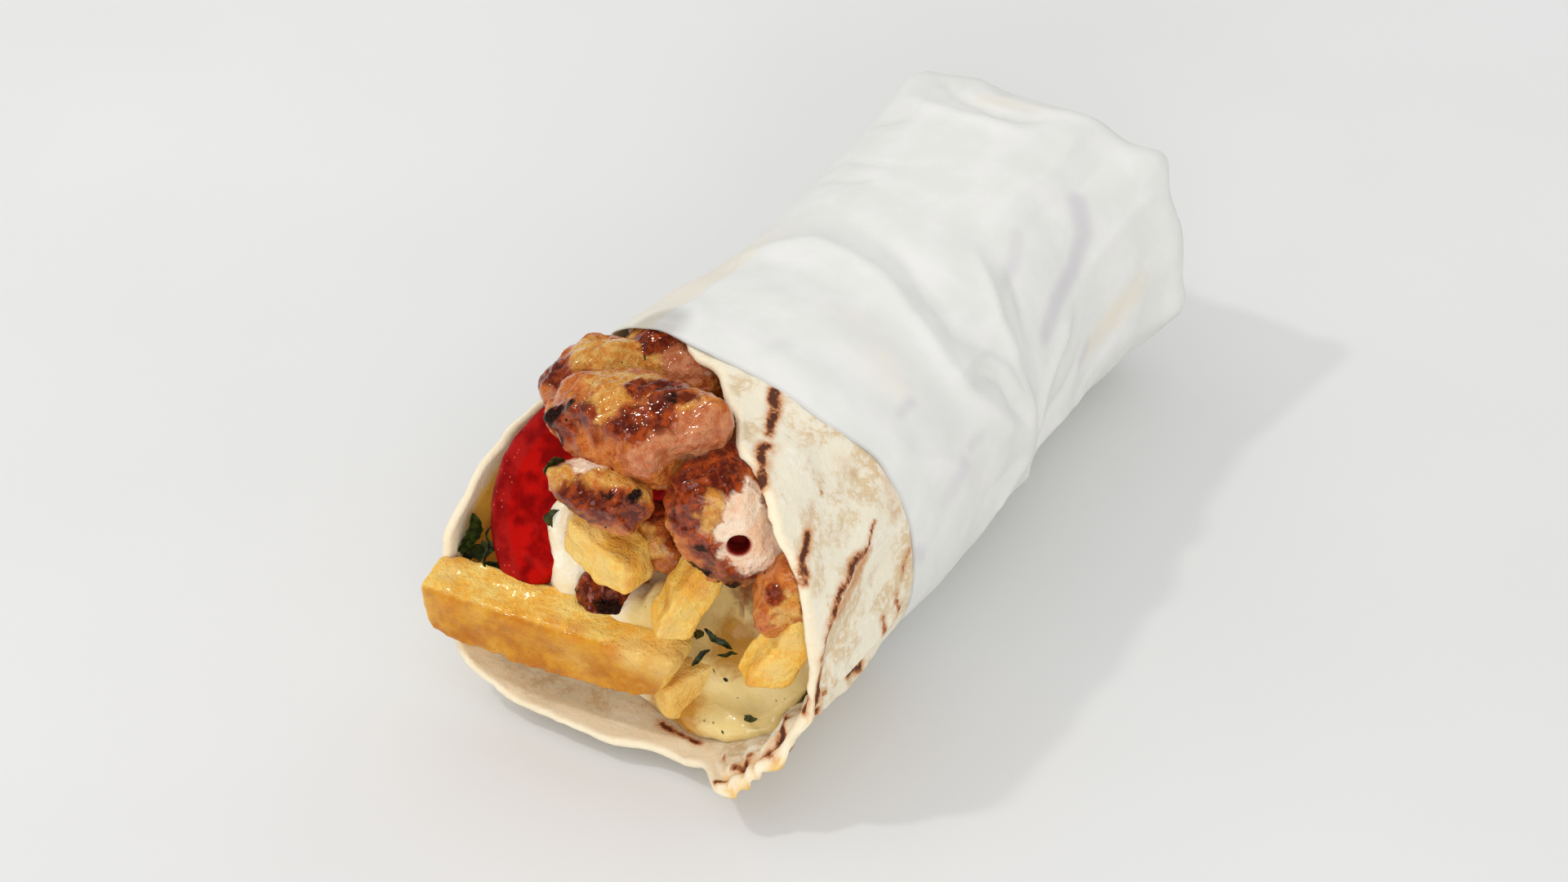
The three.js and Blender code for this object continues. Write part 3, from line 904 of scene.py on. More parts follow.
# Grill marks that show faintly through the paper
SEEN_STROKES = [
    (0.9, 2.2, [(41, 141), (53, 137), (60, 130), (62, 120), (68, 113)]),
    (0.6, 2.0, [(33, 121), (40, 114), (41, 108)]),
    (0.6, 1.6, [(91, 131), (93, 128)]),
    (0.7, 1.4, [(47, 64), (47, 60)]),
    (0.6, 1.6, [(72, 79), (72, 75)]),
    (0.6, 2.4, [(76, 70), (80, 62)]),
    (0.7, 1.6, [(90, 53), (88, 51)]),
    (0.5, 1.6, [(10, 54), (9, 51)]),
    (0.4, 2.0, [(55, 59), (57, 56)]),
    (0.6, 2.2, [(204, 74), (212, 92), (214, 104)]),
    (0.6, 2.0, [(262, 80), (270, 98), (268, 112)]),
    (0.5, 2.0, [(150, 96), (158, 112)]),
]
OILY_SPOTS = [
    (0.55, 3.0, [(84, 150), (88, 142), (92, 134)]),
    (0.45, 3.0, [(352, 155), (362, 156)]),
    (0.4, 6.0, [(20, 70), (40, 64)]),
]
PAPER_CREASES, SEEN_STROKES, OILY_SPOTS = map(drawn, (PAPER_CREASES, SEEN_STROKES, OILY_SPOTS))
PAPER_COLUMNS = [(0, -90), (0.08, -60), (0.72, 130), (1, 270)]


def both_ways(reader, angle, y, table):
    """Reads a table of lines whose paths may run on past a full turn."""
    return reader(angle, y, table) + reader(angle + 360, y, table)


# Where the folded tail sticks out: (angle, half width in degrees, millimetres out, millimetres back)
TAIL_CORNERS = [
    (-46, 9, 1.8, 0.4), (44, 9, 2, 2.8), (104, 8, 1.3, 0.5), (-6, 16, -1, -1.6), (205, 12, 1.2, 1),
]


def paper_place(angle, travel, rim, offset):
    """A place on the paper, travel millimetres from its front edge: along the wall, round the corner and
    over the closed end to its middle."""
    wall = PAPER_CORNER - rim
    out, back = 0, 0
    for corner, spread, outward, backward in TAIL_CORNERS:
        turn = (angle - corner + 180) % 360 - 180
        pull = math.exp(-((turn / spread) ** 2)) * math.exp(-(((travel - wall) / 9) ** 2))
        out, back = out + outward * pull, back + backward * pull
    offset += out
    if travel <= wall:
        place = roll_point(angle, rim + travel, offset)
        place.y += back
        return place
    round_corner = PAPER_TAIL - PAPER_CORNER
    bend = min(1, (travel - wall) / round_corner)
    inset = (travel - wall) / PAPER_REACH
    share = max(0, 1 - max(0, inset - 0.04) / 0.96)
    bulge = PAPER_BULGE * (1 - share ** 2)
    y = PAPER_CORNER + round_corner * math.sin(bend * math.pi / 2) + bulge + offset * bend
    axis = (roll_point(0, y, 0) + roll_point(180, y, 0)) / 2
    skin = roll_point(angle, min(y, OUTLINE[-1][0]), offset - 1.2 * (1 - math.cos(bend * math.pi / 2)))
    place = axis.lerp(skin, share)
    place.y = y + back
    return place


def make_paper(finish):
    paper, points = start_sheet("paper_sleeve", 270, 280, PAPER_COLUMNS)
    marks = {"single": [], "seen": [], "oily": [], "sheer": []}
    for v, angle, t, inner in points:
        s, c = math.sin(math.radians(angle)), math.cos(math.radians(angle))
        rim = along(PAPER_RIM, 1, angle) + 0.5 * uneven((c * 4, s * 4, 0), 1, 2)
        wall = PAPER_CORNER - rim
        travel = (wall + PAPER_REACH) * (0.6 * t + 0.4 * t * t)
        y = rim + travel
        ring = Vector((c * 36, s * 36, y))
        height = both_ways(crease_height, angle, y, PAPER_CREASES)
        height += 0.45 * uneven(ring, 20, 1) + 0.12 * uneven(ring, 8, 5) + 0.03 * uneven(ring, 3, 6)
        height = max(height, -0.75) * smooth_step(-3, 12, travel)
        height -= (1.07 if 0 < angle < 250 else 0.85) * (1 - smooth_step(0, 9, travel))
        height *= 1 - smooth_step(24, 37, travel - wall)
        thick = thin_edge(travel, 0.3)
        half = PAPER_THICKNESS / 2 * thick * (-1 if inner else 1)
        place = paper_place(angle, travel, rim, PAPER_MIDDLE + half + height)
        pleat = 0.9 * math.sin(math.radians(angle * 9)) + 0.9 * uneven((ring.x / 18, ring.y / 18, 2), 1)
        past = travel - wall
        place.y += pleat * smooth_step(4, 14, past) * (1 - smooth_step(24, 38, past))
        place.z = max(place.z, ON_TABLE * thick if inner else 0)
        v.co = (place + FROM_ROLL) * MM
        left = smooth_step(-21, -25, angle) * smooth_step(-70, -55, angle) * (1 - smooth_step(70, 104, y))
        from_corner = math.hypot((angle + 22) * AROUND, y - 46)
        sheer = max(0.8 * (1 - smooth_step(4, 9, from_corner)), 0.95 * (1 - smooth_step(0.1, 1.0, travel)))
        marks["single"].append(left)
        marks["seen"].append(both_ways(stroke_mark, angle, y, SEEN_STROKES))
        marks["oily"].append(both_ways(stroke_mark, angle, y, OILY_SPOTS))
        marks["sheer"].append(sheer)
    close_sheet(paper, marks, finish, "paper", "paper_wrap")


# ---------------------------------------------------------------- the chicken

# What each lump shows, as spots (x, y, z, reach) in the part's frame
CHICKEN_LOOKS = {
    "chicken_top": {
        "char": [
            (-17, -71.5, 71.5, 2.2), (-13.6, -70.4, 75.2, 1.5), (4.6, -61.7, 77.9, 1.5),
            (5.6, -60.6, 77.6, 1.2), (-14.5, -74, 67.5, 2), (-11.5, -76, 69, 1.3),
        ],
        "sear": [
            (-9, -76.5, 69, 2.4), (-2.6, -61.7, 78, 2.4), (1.5, -58.5, 77.5, 3.4), (0.3, -68.4, 78.5, 2.8),
            (4.6, -66, 78.5, 3), (-1, -72.2, 77, 2.6), (-9.8, -72.7, 75.2, 3), (-13.5, -73.5, 71.5, 3.6),
            (3.2, -62.5, 78.2, 2.6), (2.5, -71.2, 76.8, 2.4), (-4.9, -74.4, 73.1, 2.2), (6.8, -60, 77.6, 2),
        ],
        "gold": [
            (-6.7, -69.1, 77.6, 3.4), (-7, -64.3, 77.6, 3.6), (-10.5, -60, 76, 3.6), (-3.5, -57, 76.5, 2.6),
            (8.5, -60.5, 77.5, 2.2), (-3.5, -64.5, 78.3, 1.6),
        ],
        "tan": [
            (9.3, -68.2, 75.4, 3.4), (10.3, -65.2, 76.4, 2.6), (8, -70.7, 73, 3), (4.5, -73.5, 70.5, 2.6),
            (12.5, -65, 72.5, 3), (14, -60.5, 73, 4), (12, -61.5, 76, 3),
        ],
    },
    "chicken_left": {
        "gold": [
            (-21, -50.1, 70.6, 4.4), (-18.7, -48, 70.8, 4.6), (-16.4, -51.1, 69.9, 3.6),
            (-24, -49, 68.5, 4), (-14.5, -48, 68, 3.4), (-17.5, -54, 69, 2.6),
        ],
        "sear": [
            (-27.8, -54.2, 65.4, 2.9), (-31, -54.4, 61, 2), (-20.3, -55.8, 68.4, 1.8), (-26, -56, 66, 2.2),
        ],
        "char": [(-31.5, -53.4, 61, 1.4)],
        "tan": [(-24.5, -57.5, 63.5, 2.4)],
    },
    "chicken_back": {
        "sear": [(-17.5, -40.6, 69.3, 2.4), (-13.9, -40.1, 70.8, 2.6), (-15, -42.1, 69.7, 1.8)],
        "gold": [
            (-21.5, -37, 66, 3), (-11.5, -43.5, 68.7, 2.6), (-14.5, -44.6, 67.3, 2.4),
            (-10.5, -44.2, 67.2, 2),
        ],
        "tan": [(-9.3, -41.1, 70.2, 3), (-7.1, -42.7, 68, 3), (-4.3, -41.2, 68.3, 3)],
    },
    "chicken_low": {
        "gold": [
            (-8.2, -79.5, 65.6, 2.4), (-3.7, -78.7, 67.8, 2.6), (1.7, -75.8, 67.5, 2.4),
            (-5.3, -80.4, 66.4, 2), (6.5, -74.5, 66, 2.4),
        ],
        "sear": [
            (-2.4, -82.2, 63.9, 3.4), (1.5, -82.4, 63, 3.2), (-5.6, -81.4, 62.8, 2.8),
            (4.7, -80.6, 65.5, 3), (7.5, -78, 63, 2.8), (-1.5, -83, 60.5, 3),
        ],
        "char": [(2.6, -80, 67.2, 1), (6.8, -76.8, 66.2, 1.4)],
        "flesh": [(-5.3, -74.3, 67.3, 2.8), (-8.5, -76, 64.5, 2)],
    },
    "chicken_right": {
        "sear": [
            (14, -66.9, 70.6, 4), (17, -61, 73, 5), (14.7, -72, 68.7, 4), (19, -66, 70, 3.4),
            (16.3, -74.5, 62.5, 2.4), (19.7, -73.3, 57.1, 2.6), (22.3, -71.8, 51.8, 2.8),
            (24.7, -69.1, 48.6, 3), (14, -74.2, 64, 2.6), (27.5, -66, 47.5, 2.6),
        ],
        "char": [(19.4, -73.4, 57, 1.1), (22.5, -67.9, 44.9, 1.8), (18, -72, 50, 2)],
        "gold": [
            (20.9, -68.7, 68.4, 3), (21.3, -70.9, 66, 2.6), (19.5, -72.6, 64, 2.2),
            (28.5, -66.2, 49.8, 2.4), (31, -64, 51.5, 2.6),
        ],
        "flesh": [
            (24.1, -65.8, 66.8, 3.2), (25.3, -68.1, 64.3, 3), (27.8, -66.3, 59.2, 4),
            (27.4, -68.4, 53.9, 3.6), (23.7, -70.8, 61.2, 2), (22.9, -71.5, 57.6, 1.7),
            (29.6, -65.1, 55.1, 3.2), (25.4, -69.5, 58.5, 3.4),
        ],
    },
    "chicken_middle": {
        "sear": [(0.4, -61.2, 48.8, 2.6), (7, -63, 47.5, 2.6)],
        "gold": [(2, -66.7, 46.3, 2), (4.1, -66.9, 45.2, 2), (-1.5, -64, 47.5, 2)],
    },
    "chicken_sunk": {
        "sear": [(-7, -70.2, 30.4, 6), (-11, -71, 28, 3)],
        "char": [(-4, -70.5, 27.5, 2.4)],
    },
    "chicken_side": {
        "sear": [(34.1, -70.6, 51, 1.8)],
        "gold": [(37.1, -71, 50, 2.6), (37.5, -71.8, 46.6, 2.6)],
    },
}
# Bumps and hollows: (x, y, z, reach, height)
CHICKEN_LUMPS = {
    "chicken_top": [
        (-17, -71, 71, 2.2, 1.8), (-13.2, -69.8, 75, 1.6, 1.5), (-15.6, -70.6, 73.4, 1.2, -1),
        (-10.6, -74, 72, 2.6, -1.4), (-11.5, -66.5, 75, 2.4, -1.2), (-5, -60, 77.4, 4, 0.8),
        (12.6, -58, 75.5, 4.2, 2.6), (7.5, -56.5, 76, 4.5, 1.6), (14, -59.5, 71.5, 4.5, 2),
        (13.5, -67.5, 68.5, 4, -2.4), (8.9, -66.5, 76.6, 1, -1.6), (4, -74.8, 71.5, 4, 0.7),
        (-0.8, -65.5, 78.4, 1.8, -0.9), (-6.5, -74.5, 73.5, 2.2, -0.8), (7.5, -62.5, 78, 1.8, 0.6),
        (2.2, -64.6, 78.5, 1.5, -0.6),
    ],
    "chicken_left": [
        (-31, -54.5, 62, 3, 1.6), (-20.3, -55.4, 68.4, 2.4, -1.2), (-25.5, -51, 69, 3, 0.8),
        (-19.5, -46, 70.8, 3.4, 0.8), (-22.8, -57, 65.5, 1.6, -1),
    ],
    "chicken_back": [
        (-22, -36.5, 64.5, 5, 1.2), (-1, -43, 66, 5, 3), (-12.5, -42.5, 69.5, 2, -1),
        (-18, -39, 69.5, 3, 0.8), (-6.5, -40, 70, 3, 0.8),
    ],
    "chicken_low": [
        (-9.8, -79.6, 64.8, 2.6, 1.2), (-1.5, -77.8, 68, 2.4, 0.8), (2.6, -79, 67.3, 1.4, -0.7),
        (7, -79, 64.5, 2, -0.8), (10, -76, 64, 2.4, 1), (-6, -76.8, 67.2, 1.8, -1),
    ],
    "chicken_right": [
        (16, -59, 69, 4.5, 4.5), (16.5, -73.5, 66, 2.4, -0.8), (20.4, -71.4, 63.8, 1.6, -0.6),
        (13.5, -70, 70, 2.6, 0.8), (21.6, -72.4, 59.6, 1.2, 0.7), (21.9, -72.2, 56, 1.2, 0.8),
        (23.4, -71.2, 53.2, 1.3, 0.7), (19.4, -73.6, 55, 2, -0.8), (26.2, -68.8, 50.6, 1.4, 0.6),
    ],
    "chicken_sunk": [(-6, -71, 29, 2, -1.4), (-9.5, -70.5, 31, 2, 0.8)],
}
SKEWER_HOLE = Vector((25.47, -69.92, 58.5))
SKEWER_WAY = Vector((-0.45, 0.7, -0.35)).normalized()
CLEAN_RING = 3.4  # the meat is smooth this near the middle of the hole
FACETS = 9  # how many flats a lump has


def chop(lump, seed):
    """Flattens a round lump in a few places, as a knife does."""
    chance = random.Random(seed)
    points = lump.data.vertices
    low = Vector([min(v.co[i] for v in points) for i in range(3)])
    high = Vector([max(v.co[i] for v in points) for i in range(3)])
    middle, half = (low + high) / 2, (high - low) / 2
    cuts = []
    while len(cuts) < FACETS:
        way = Vector([chance.gauss(0, 1) for _ in range(3)]).normalized()
        if all(way.dot(other) < 0.55 for other, _ in cuts):
            cuts.append((way, chance.uniform(0.74, 0.88)))
    for v in points:
        share = Vector([(v.co[i] - middle[i]) / half[i] for i in range(3)])
        for way, reach in cuts:
            over = share.dot(way) - reach
            if over > 0:
                share -= way * over * 0.75
        v.co = middle + Vector([share[i] * half[i] * 1.05 for i in range(3)])
    lump.data.update()


def make_chicken(node, looks, finish):
    lump = modelled(node, node + "_grilled", CRISP_MESH)
    seed = sum(map(ord, node)) % 17
    skewered = node == "chicken_right"
    if not skewered:
        chop(lump, seed)
        shape(lump, "SMOOTH", factor=0.5, iterations=2)

    def look(kind, place):
        return shown(looks.get(kind, []), place)

    def from_skewer(place):
        """How far a place is from the line of the skewer, and how far along it."""
        reach = place - SKEWER_HOLE
        run = reach.dot(SKEWER_WAY)
        return (reach - SKEWER_WAY * run).length, run

    def relief(place):
        if skewered and from_skewer(place)[0] < CLEAN_RING:
            return 0.12 * uneven(place, 1.6, seed)
        height = 0
        for x, y, z, reach, rise in CHICKEN_LUMPS.get(node, []):
            gap = math.dist(place, (x, y, z)) / reach
            if gap < 2.5:
                height += rise * math.exp(-gap * gap)
        flesh = look("flesh", place)
        cut = smooth_step(0.2, 0.5, flesh)
        height += (0.8 * uneven(place, 7, seed) + 0.5 * uneven(place, 3.2, seed + 3)) * (1 - 0.5 * cut)
        x, y, z = place
        fibre = (x * 0.94 - y * 0.33, (x * 0.33 + y * 0.94) / 2.6, z * 0.7)
        height += (0.3 - abs(uneven(fibre, 2.7, seed + 5))) * 1.1 * (1 - cut)
        torn = flesh + 0.35 * uneven(place, 2.0, seed + 1)
        height += 0.4 * math.exp(-(((torn - 0.32) / 0.07) ** 2))
        return height + 0.22 * uneven(place, 0.95, seed) + 0.22 * uneven(fibre, 1.3, seed) * cut

    def pit_shade(place):
        """The inside of the hole that the skewer left, painted dark red: the meat's red there and painted
        shade in the hole.
        """
        gap, run = from_skewer(place)
        return smooth_step(2.9, 2.2, gap) * smooth_step(0.0, 1.0, run) * skewered

    swell(lump, relief)
    paint(lump, "pit_shade", pit_shade)
    for kind in ("char", "sear", "gold", "tan", "flesh"):
        paint(lump, kind, lambda place, kind=kind: look(kind, place))
    smooth(lump)
    keep(lump, finish, "grilled_chicken", node)
    return lump


# ---------------------------------------------------------------- the fries

# The middles of the two ends in the roll's frame, width, depth, sag, how far each end's top leans out, and
# paleness
FRIES = {
    "fry_front": ((-39.5, 2.5, 23), (13.2, 13.2, 22), 12.6, 12.2, 1.2, (0.6, 2.2), 0.15),
    "fry_upper": ((-12, 15, 45), (5, 12, 42), 9.5, 9, 0.4, (0.5, -1.2), 0.15),
    "fry_centre": ((18.5, 19, 50), (12, 11, 31.5), 7.6, 8, -0.8, (0, 1.0), 0.2),
    "fry_right": ((38.5, 20, 45), (32, 12, 29), 8, 8.4, 0.5, (0, 1.2), 0.2),
    "fry_bottom": ((6, 13, 11), (19, 34, 20), 12.8, 9.5, 0.8, (-1.0, 0), 0.6),
}
# Pale and brown spots: (x, y, z, reach) in the part's frame
FRY_LOOKS = {
    "fry_front": {
        "pale": [(11.8, -73.8, 26.3, 4.5), (5.4, -76.6, 27, 3.6), (-36.2, -80.4, 28.3, 2.4)],
        "brown": [
            (-37.8, -75.4, 28.7, 3.4), (-18.4, -82.4, 25.8, 2.6), (-7, -78.6, 26.9, 2.4),
            (-33, -84, 25.5, 3), (-12, -79.6, 27, 2.2), (2, -79, 26, 2.4), (-28, -82, 15.5, 3),
            (-14, -80, 14.5, 3), (13, -71, 17.5, 2.6),
        ],
    },
    "fry_upper": {
        "pale": [
            (-10.9, -74, 45.7, 3.4), (-6.6, -72.8, 47.6, 3), (-9.5, -74.8, 42.8, 3.4),
            (-3, -75.6, 43.8, 2.8), (-1.5, -76.4, 40.8, 2.6),
        ],
        "brown": [
            (-1.5, -70.5, 47.3, 2.8), (4, -72.9, 45.6, 2.4), (4.2, -74.7, 41.1, 2), (-13, -71, 43, 2),
        ],
    },
    "fry_centre": {
        "pale": [(13.6, -76.2, 34.8, 2.6), (16.9, -73.5, 38.1, 2)],
        "brown": [
            (15.8, -72, 46.8, 3.4), (11.4, -74, 40, 1.8), (17.4, -71, 44, 2.2), (10.5, -74.5, 33, 1.4),
        ],
    },
    "fry_right": {
        "brown": [(31.6, -76, 31.5, 2.4), (31.5, -74.5, 36, 2.2)],
        "pale": [(35.7, -72.7, 34.1, 2.4), (37.5, -70.2, 40.5, 2.6)],
    },
    "fry_bottom": {
        "pale": [(12.5, -66, 16.5, 6), (8, -70.5, 12, 3)],
        "brown": [(5.5, -71.5, 11.5, 2)],
    },
}


def make_fry(node, start, end, width, depth, sag, lean, paleness, finish):
    """A square-cut stick, a little hollow along its sides."""
    start, end = Vector(start) + FROM_ROLL, Vector(end) + FROM_ROLL
    middle, run = (start + end) / 2, end - start
    forward = run.normalized()
    side = Vector((0, 0, 1)).cross(forward).normalized()
    up = forward.cross(side)
    seed = sum(map(ord, node)) % 13
    bpy.ops.mesh.primitive_cube_add(size=2)
    fry = bpy.context.object
    fry.name = node + "_fried"
    edit(fry, (bpy.ops.mesh.subdivide, {"number_cuts": 11}))
    for v in fry.data.vertices:
        x, y, z = v.co
        ring = max(abs(y), abs(z))
        tip = abs(x) ** 8
        blunt = (1 - 0.1 * tip) * (ring / max((abs(y) ** 7 + abs(z) ** 7) ** (1 / 7), 1e-6))
        wide = y * width / 2 * blunt * (1 + 0.03 * math.sin(5 * x + seed)) * (1 - 0.05 * (1 - z * z))
        high = z * depth / 2 * blunt * (1 + 0.03 * math.sin(4 * x + 2 * seed)) * (1 - 0.05 * (1 - y * y))
        far = x * (run.length / 2 - 0.1 * width * ring ** 4 * tip)
        far += (lean[1] if x > 0 else -lean[0]) * z * abs(x) ** 3
        v.co = (middle + forward * far + side * wide + up * (high - sag * (1 - x * x))) * MM
    remesh(fry, CRISP_MESH, 12)

    def edge_share(place):
        """Rises to 1 on the stick's long edges, and to about half on its ends."""
        reach = place - middle
        across = abs(reach.dot(side)) / (width / 2)
        high = abs(reach.dot(up)) / (depth / 2)
        tip = smooth_step(0.86, 1.0, abs(reach.dot(forward)) / (run.length / 2))
        return max(min(across, high, 1), 0.55 * tip)

    def relief(place):
        crisp = smooth_step(0.6, 1, edge_share(place))
        height = (0.4 if width > 12 else 0.8) * uneven(place, 5, seed + 2)
        height += (0.22 + 0.35 * crisp) * uneven(place, 2.2, seed)
        return height + 0.1 * uneven(place, 0.9, seed) + 0.2 * crisp

    def shaded(place):
        """Painted shade: the darker side of the front fry, which faces the mouth's lower lip, darkest low
        down.
        """
        front = smooth_step(0.6, 0.95, (start - place).dot(side) / (width / 2)) * (node == "fry_front")
        return front * (0.75 + 0.25 * smooth_step(1, -5, (place - start).dot(up)))

    def browned(place):
        return shown(FRY_LOOKS[node]["brown"], place, 0.6 * smooth_step(0.75, 1.0, edge_share(place)))

    def paled(place):
        return shown(FRY_LOOKS[node]["pale"], place, paleness + 0.3 * uneven(place, 9, seed))

    swell(fry, relief)
    paint(fry, "side", shaded)
    paint(fry, "brown", browned)
    paint(fry, "pale", paled)
    smooth(fry)
    keep(fry, finish, "fried_potato", node)
    return fry


# ---------------------------------------------------------------- tomato, sauce and herbs

TOMATO_CENTRE = Vector((-10, 22, 41))
TOMATO_TURN = (58, 0, -30)


def make_tomato(finish):
    slice_ = modelled("tomato_slice", "tomato_half_slice", 0.6)
    flatten = turned(TOMATO_TURN).transposed()

    def from_centre(place):
        flat = flatten @ (place - FROM_ROLL - TOMATO_CENTRE)
        return math.hypot(flat.x, flat.y)

    def relief(place):
        ring = from_centre(place)
        dip = smooth_step(21.5, 19, ring) * 0.6 * (0.5 + uneven(place, 5, 2))
        return 0.25 * uneven(place, 4, 1) - dip

    swell(slice_, relief)
    paint(slice_, "wall", lambda place: smooth_step(19.5, 22, from_centre(place)))
    paint(slice_, "skin", lambda place: smooth_step(24.6, 25.4, from_centre(place)))
    smooth(slice_)
    keep(slice_, finish, "tomato", "tomato_slice")


# Blobs of sauce in the mouth: middle and half size in the part's frame, and tilt about Y in radians
SAUCE_BLOBS = [
    ((-16, -66, 28), (6.5, 6, 10), 0),
    ((-18, -65, 38), (4, 5, 8), 0),
    ((0, -66, 26), (9, 6, 5), 0),
    ((6, -66, 30), (5, 5, 7), 0),
    ((17.5, -65.6, 8.4), (15.5, 7.2, 4.4), -0.24),
    ((14, -62, 14), (11, 5, 7), 0),
    ((-4, -72, 25), (5, 2.2, 2.2), 0),
]
SAUCE_TOP = 58 * MM  # the filling is pressed down above this height
# Where meat juices and brownish-yellow sauce gather, darker there partly as painted shade: (x, y, z), reach,
# and how strongly
JUICE_AND_SHADE_POOLS = [((19, -58, 36), 11, 1), ((8, -60, 39), 8, 1)]
AMBER_AND_SHADE_POOLS = [((19, -63, 24), 10, 1.15), ((10, -71, 8), 10, 1.3)]


def make_sauce(finish):
    sauce = copy_of("sauce_filling", "sauce_pool")
    blobs = []
    for place, half, tilt in SAUCE_BLOBS:
        bpy.ops.mesh.primitive_uv_sphere_add(segments=32, ring_count=16, radius=1)
        blob = bpy.context.object
        stretch = Matrix.Diagonal((*(side * MM for side in half), 1))
        blob.data.transform(Matrix.Translation(Vector(place) * MM) @ Matrix.Rotation(tilt, 4, "Y") @ stretch)
        blobs.append(blob)
    join([sauce, *blobs])
    remesh(sauce, 0.8, 24)
    for v in sauce.data.vertices:
        v.co.z = min(v.co.z, SAUCE_TOP + (v.co.z - SAUCE_TOP) * 0.4)

    def front(place):
        """1 on the face in the mouth and 0 on the hidden filling behind it."""
        return smooth_step(-30, -45, place.y)

    def relief(place):
        return front(place) * (0.8 * uneven(place, 7, 3) + 0.3 * uneven(place, 3, 5)) - 0.1

    def pooled(pools, place):
        """How strongly the nearest pool shows."""
        return max(strong - math.dist(place, middle) / reach for middle, reach, strong in pools)

    def juice_and_shade(place):
        """Meat juices and painted shade in the deep gap between the lumps, and under them."""
        return max(0, pooled(JUICE_AND_SHADE_POOLS, place), smooth_step(46, 52, place.z) * smooth_step(-6, 2, place.x))

    # Brownish-yellow sauce, partly painted shade: under the lumps, low in the pool and where it gathers.
    def amber_and_shade(place):
        high, low = smooth_step(46, 52, place.z), smooth_step(8, 4, place.z)
        return max(0.7 * high, 0.8 * low, pooled(AMBER_AND_SHADE_POOLS, place))

    swell(sauce, relief)
    paint(sauce, "mustard", lambda place: smooth_step(-8, 10, place.x + 0.2 * (place.z - 20)))
    paint(sauce, "juice_and_shade", juice_and_shade)
    paint(sauce, "amber_and_shade", amber_and_shade)
    smooth(sauce)
    keep(sauce, finish, "sauce", "sauce_filling")
    return sauce


# Leaves: middle in the part's frame, length, turn in degrees about X, Y and Z, and width as a share of the
# length
LEAVES = [
    ((-38.6, -71.5, 30.5), 9, (90, 75, 60), 0.3),
    ((-36.8, -71.0, 26.8), 9, (70, 20, 30), 0.24),
    ((-33.0, -72.4, 29.0), 11, (90, -55, -35), 0.1),
    ((-31.5, -72.0, 26.5), 7, (80, 40, 10), 0.14),
    ((-12.2, -76.5, 64.6), 5, (90, 70, 0), 0.55),
    ((-18.8, -67.8, 42.2), 6, (75, 60, 0), 0.45),
    ((13.3, -66.5, 27.0), 7, (60, -50, 20), 0.16),
    ((17.4, -65.5, 27.0), 7, (60, 40, -20), 0.12),
    ((14.5, -67.5, 22.5), 5, (55, 10, 60), 0.14),
    ((20.0, -66.0, 25.0), 5, (55, 70, 10), 0.1),
    ((28.0, -70.0, 15.5), 5.5, (60, -42, 20), 0.15),
]


def make_leaves(finish):
    leaves = []
    for place, length, turn, breadth in LEAVES:
        bpy.ops.mesh.primitive_grid_add(x_subdivisions=36, y_subdivisions=12, size=2)
        leaf = bpy.context.object
        lean = turned(turn)
        for v in leaf.data.vertices:
            run = (v.co.x + 1) / 2
            teeth = 0.7 + 0.45 * abs(uneven((run * 9, place[0], 2 if v.co.y > 0 else 5), 1))
            width = breadth * length * math.sin(math.pi * min(1, run * 0.96 + 0.03)) ** 0.6 * teeth
            x, y = (run - 0.5) * length, v.co.y * width
            bend = 0.12 * length * uneven((run * 2.2, place[0], 0), 1)
            z = 0.35 * abs(y) + 1.0 * uneven((x, y, place[0]), 3.4) - 0.05 * length * (2 * run - 1) ** 2
            v.co = (Vector(place) + lean @ Vector((x, y + bend, z))) * MM
        shape(leaf, "SOLIDIFY", thickness=0.22 * MM, offset=0)
        leaves.append(leaf)
    herbs = join(leaves)
    herbs.name = "herb_leaves"
    smooth(herbs, 50)
    keep(herbs, finish, "sauce")


OPEN_WAY = Vector((0.35, -0.75, 0.55))  # out of the mouth and up
MOUTH_BACK = -40 * MM  # crumbs lie in front of this y
CRUMB_SINK = 0.1  # how deep a crumb sits, as a share of its length


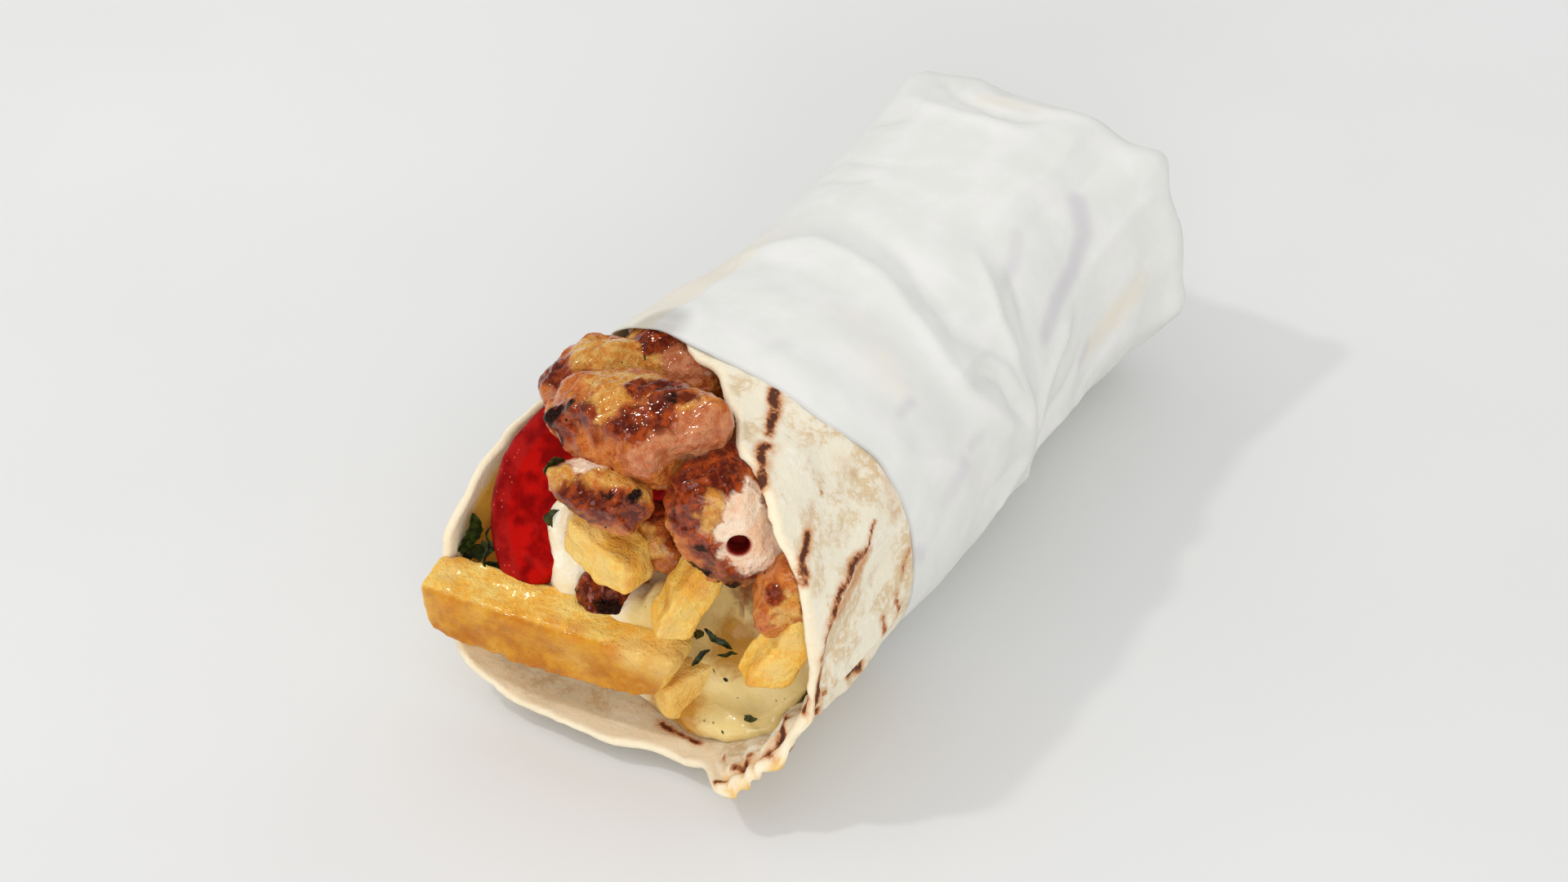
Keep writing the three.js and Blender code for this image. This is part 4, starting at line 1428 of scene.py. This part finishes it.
def scatter(name, sources, finish, count, size, seed):
    """Small flat crumbs lying on the pieces that face the mouth."""
    chance = random.Random(seed)
    spots = []
    for piece, share in sources:
        points = [v for v in piece.data.vertices if v.normal.dot(OPEN_WAY) > 0.35 and v.co.y < MOUTH_BACK]
        picked = chance.sample(points, min(len(points), round(count * share)))
        spots += [(v.co.copy(), v.normal.copy()) for v in picked]
    bpy.ops.mesh.primitive_ico_sphere_add(subdivisions=1, radius=1)
    first = bpy.context.object
    crumbs = []
    for place, normal in spots:
        crumb = first.copy()
        crumb.data = first.data.copy()
        bpy.context.scene.collection.objects.link(crumb)
        long = size * chance.uniform(0.5, 1.4) * MM
        wide, thick = long * chance.uniform(0.35, 0.8), long * chance.uniform(0.15, 0.3)
        stretch = Matrix.Diagonal((long, wide, thick, 1))
        spin = Matrix.Rotation(chance.uniform(0, math.tau), 4, "Z")
        lay = normal.to_track_quat("Z", "Y").to_matrix().to_4x4()
        crumb.data.transform(Matrix.Translation(place - normal * long * CRUMB_SINK) @ lay @ spin @ stretch)
        crumbs.append(crumb)
    bpy.data.objects.remove(first)
    piece = join(crumbs)
    piece.name = name
    smooth(piece)
    keep(piece, finish, "sauce")


# ---------------------------------------------------------------- making it

set_camera()
light_the_table()
bpy.ops.mesh.primitive_plane_add(size=8)
floor = bpy.context.object
floor.name = "floor"
floor.data.materials.append(floor_finish())

make_bread(bread_finish())
make_paper(paper_finish())
meat = chicken_finish()
lumps = [make_chicken(node, looks, meat) for node, looks in CHICKEN_LOOKS.items()]
potato = fry_finish()
chips = [make_fry(node, *fry, potato) for node, fry in FRIES.items()]
make_tomato(tomato_finish())
sauce = make_sauce(sauce_finish())
green = herb_finish()
make_leaves(green)
flecked = [(lump, 0.05) for lump in lumps] + [(sauce, 0.6)]
scatter("herb_flecks", flecked, green, count=60, size=0.5, seed=4)
peppered = [(lump, 0.06) for lump in lumps] + [(chips[0], 0.06), (sauce, 0.3)]
scatter("pepper_grains", peppered, pepper_finish(), count=90, size=0.28, seed=9)
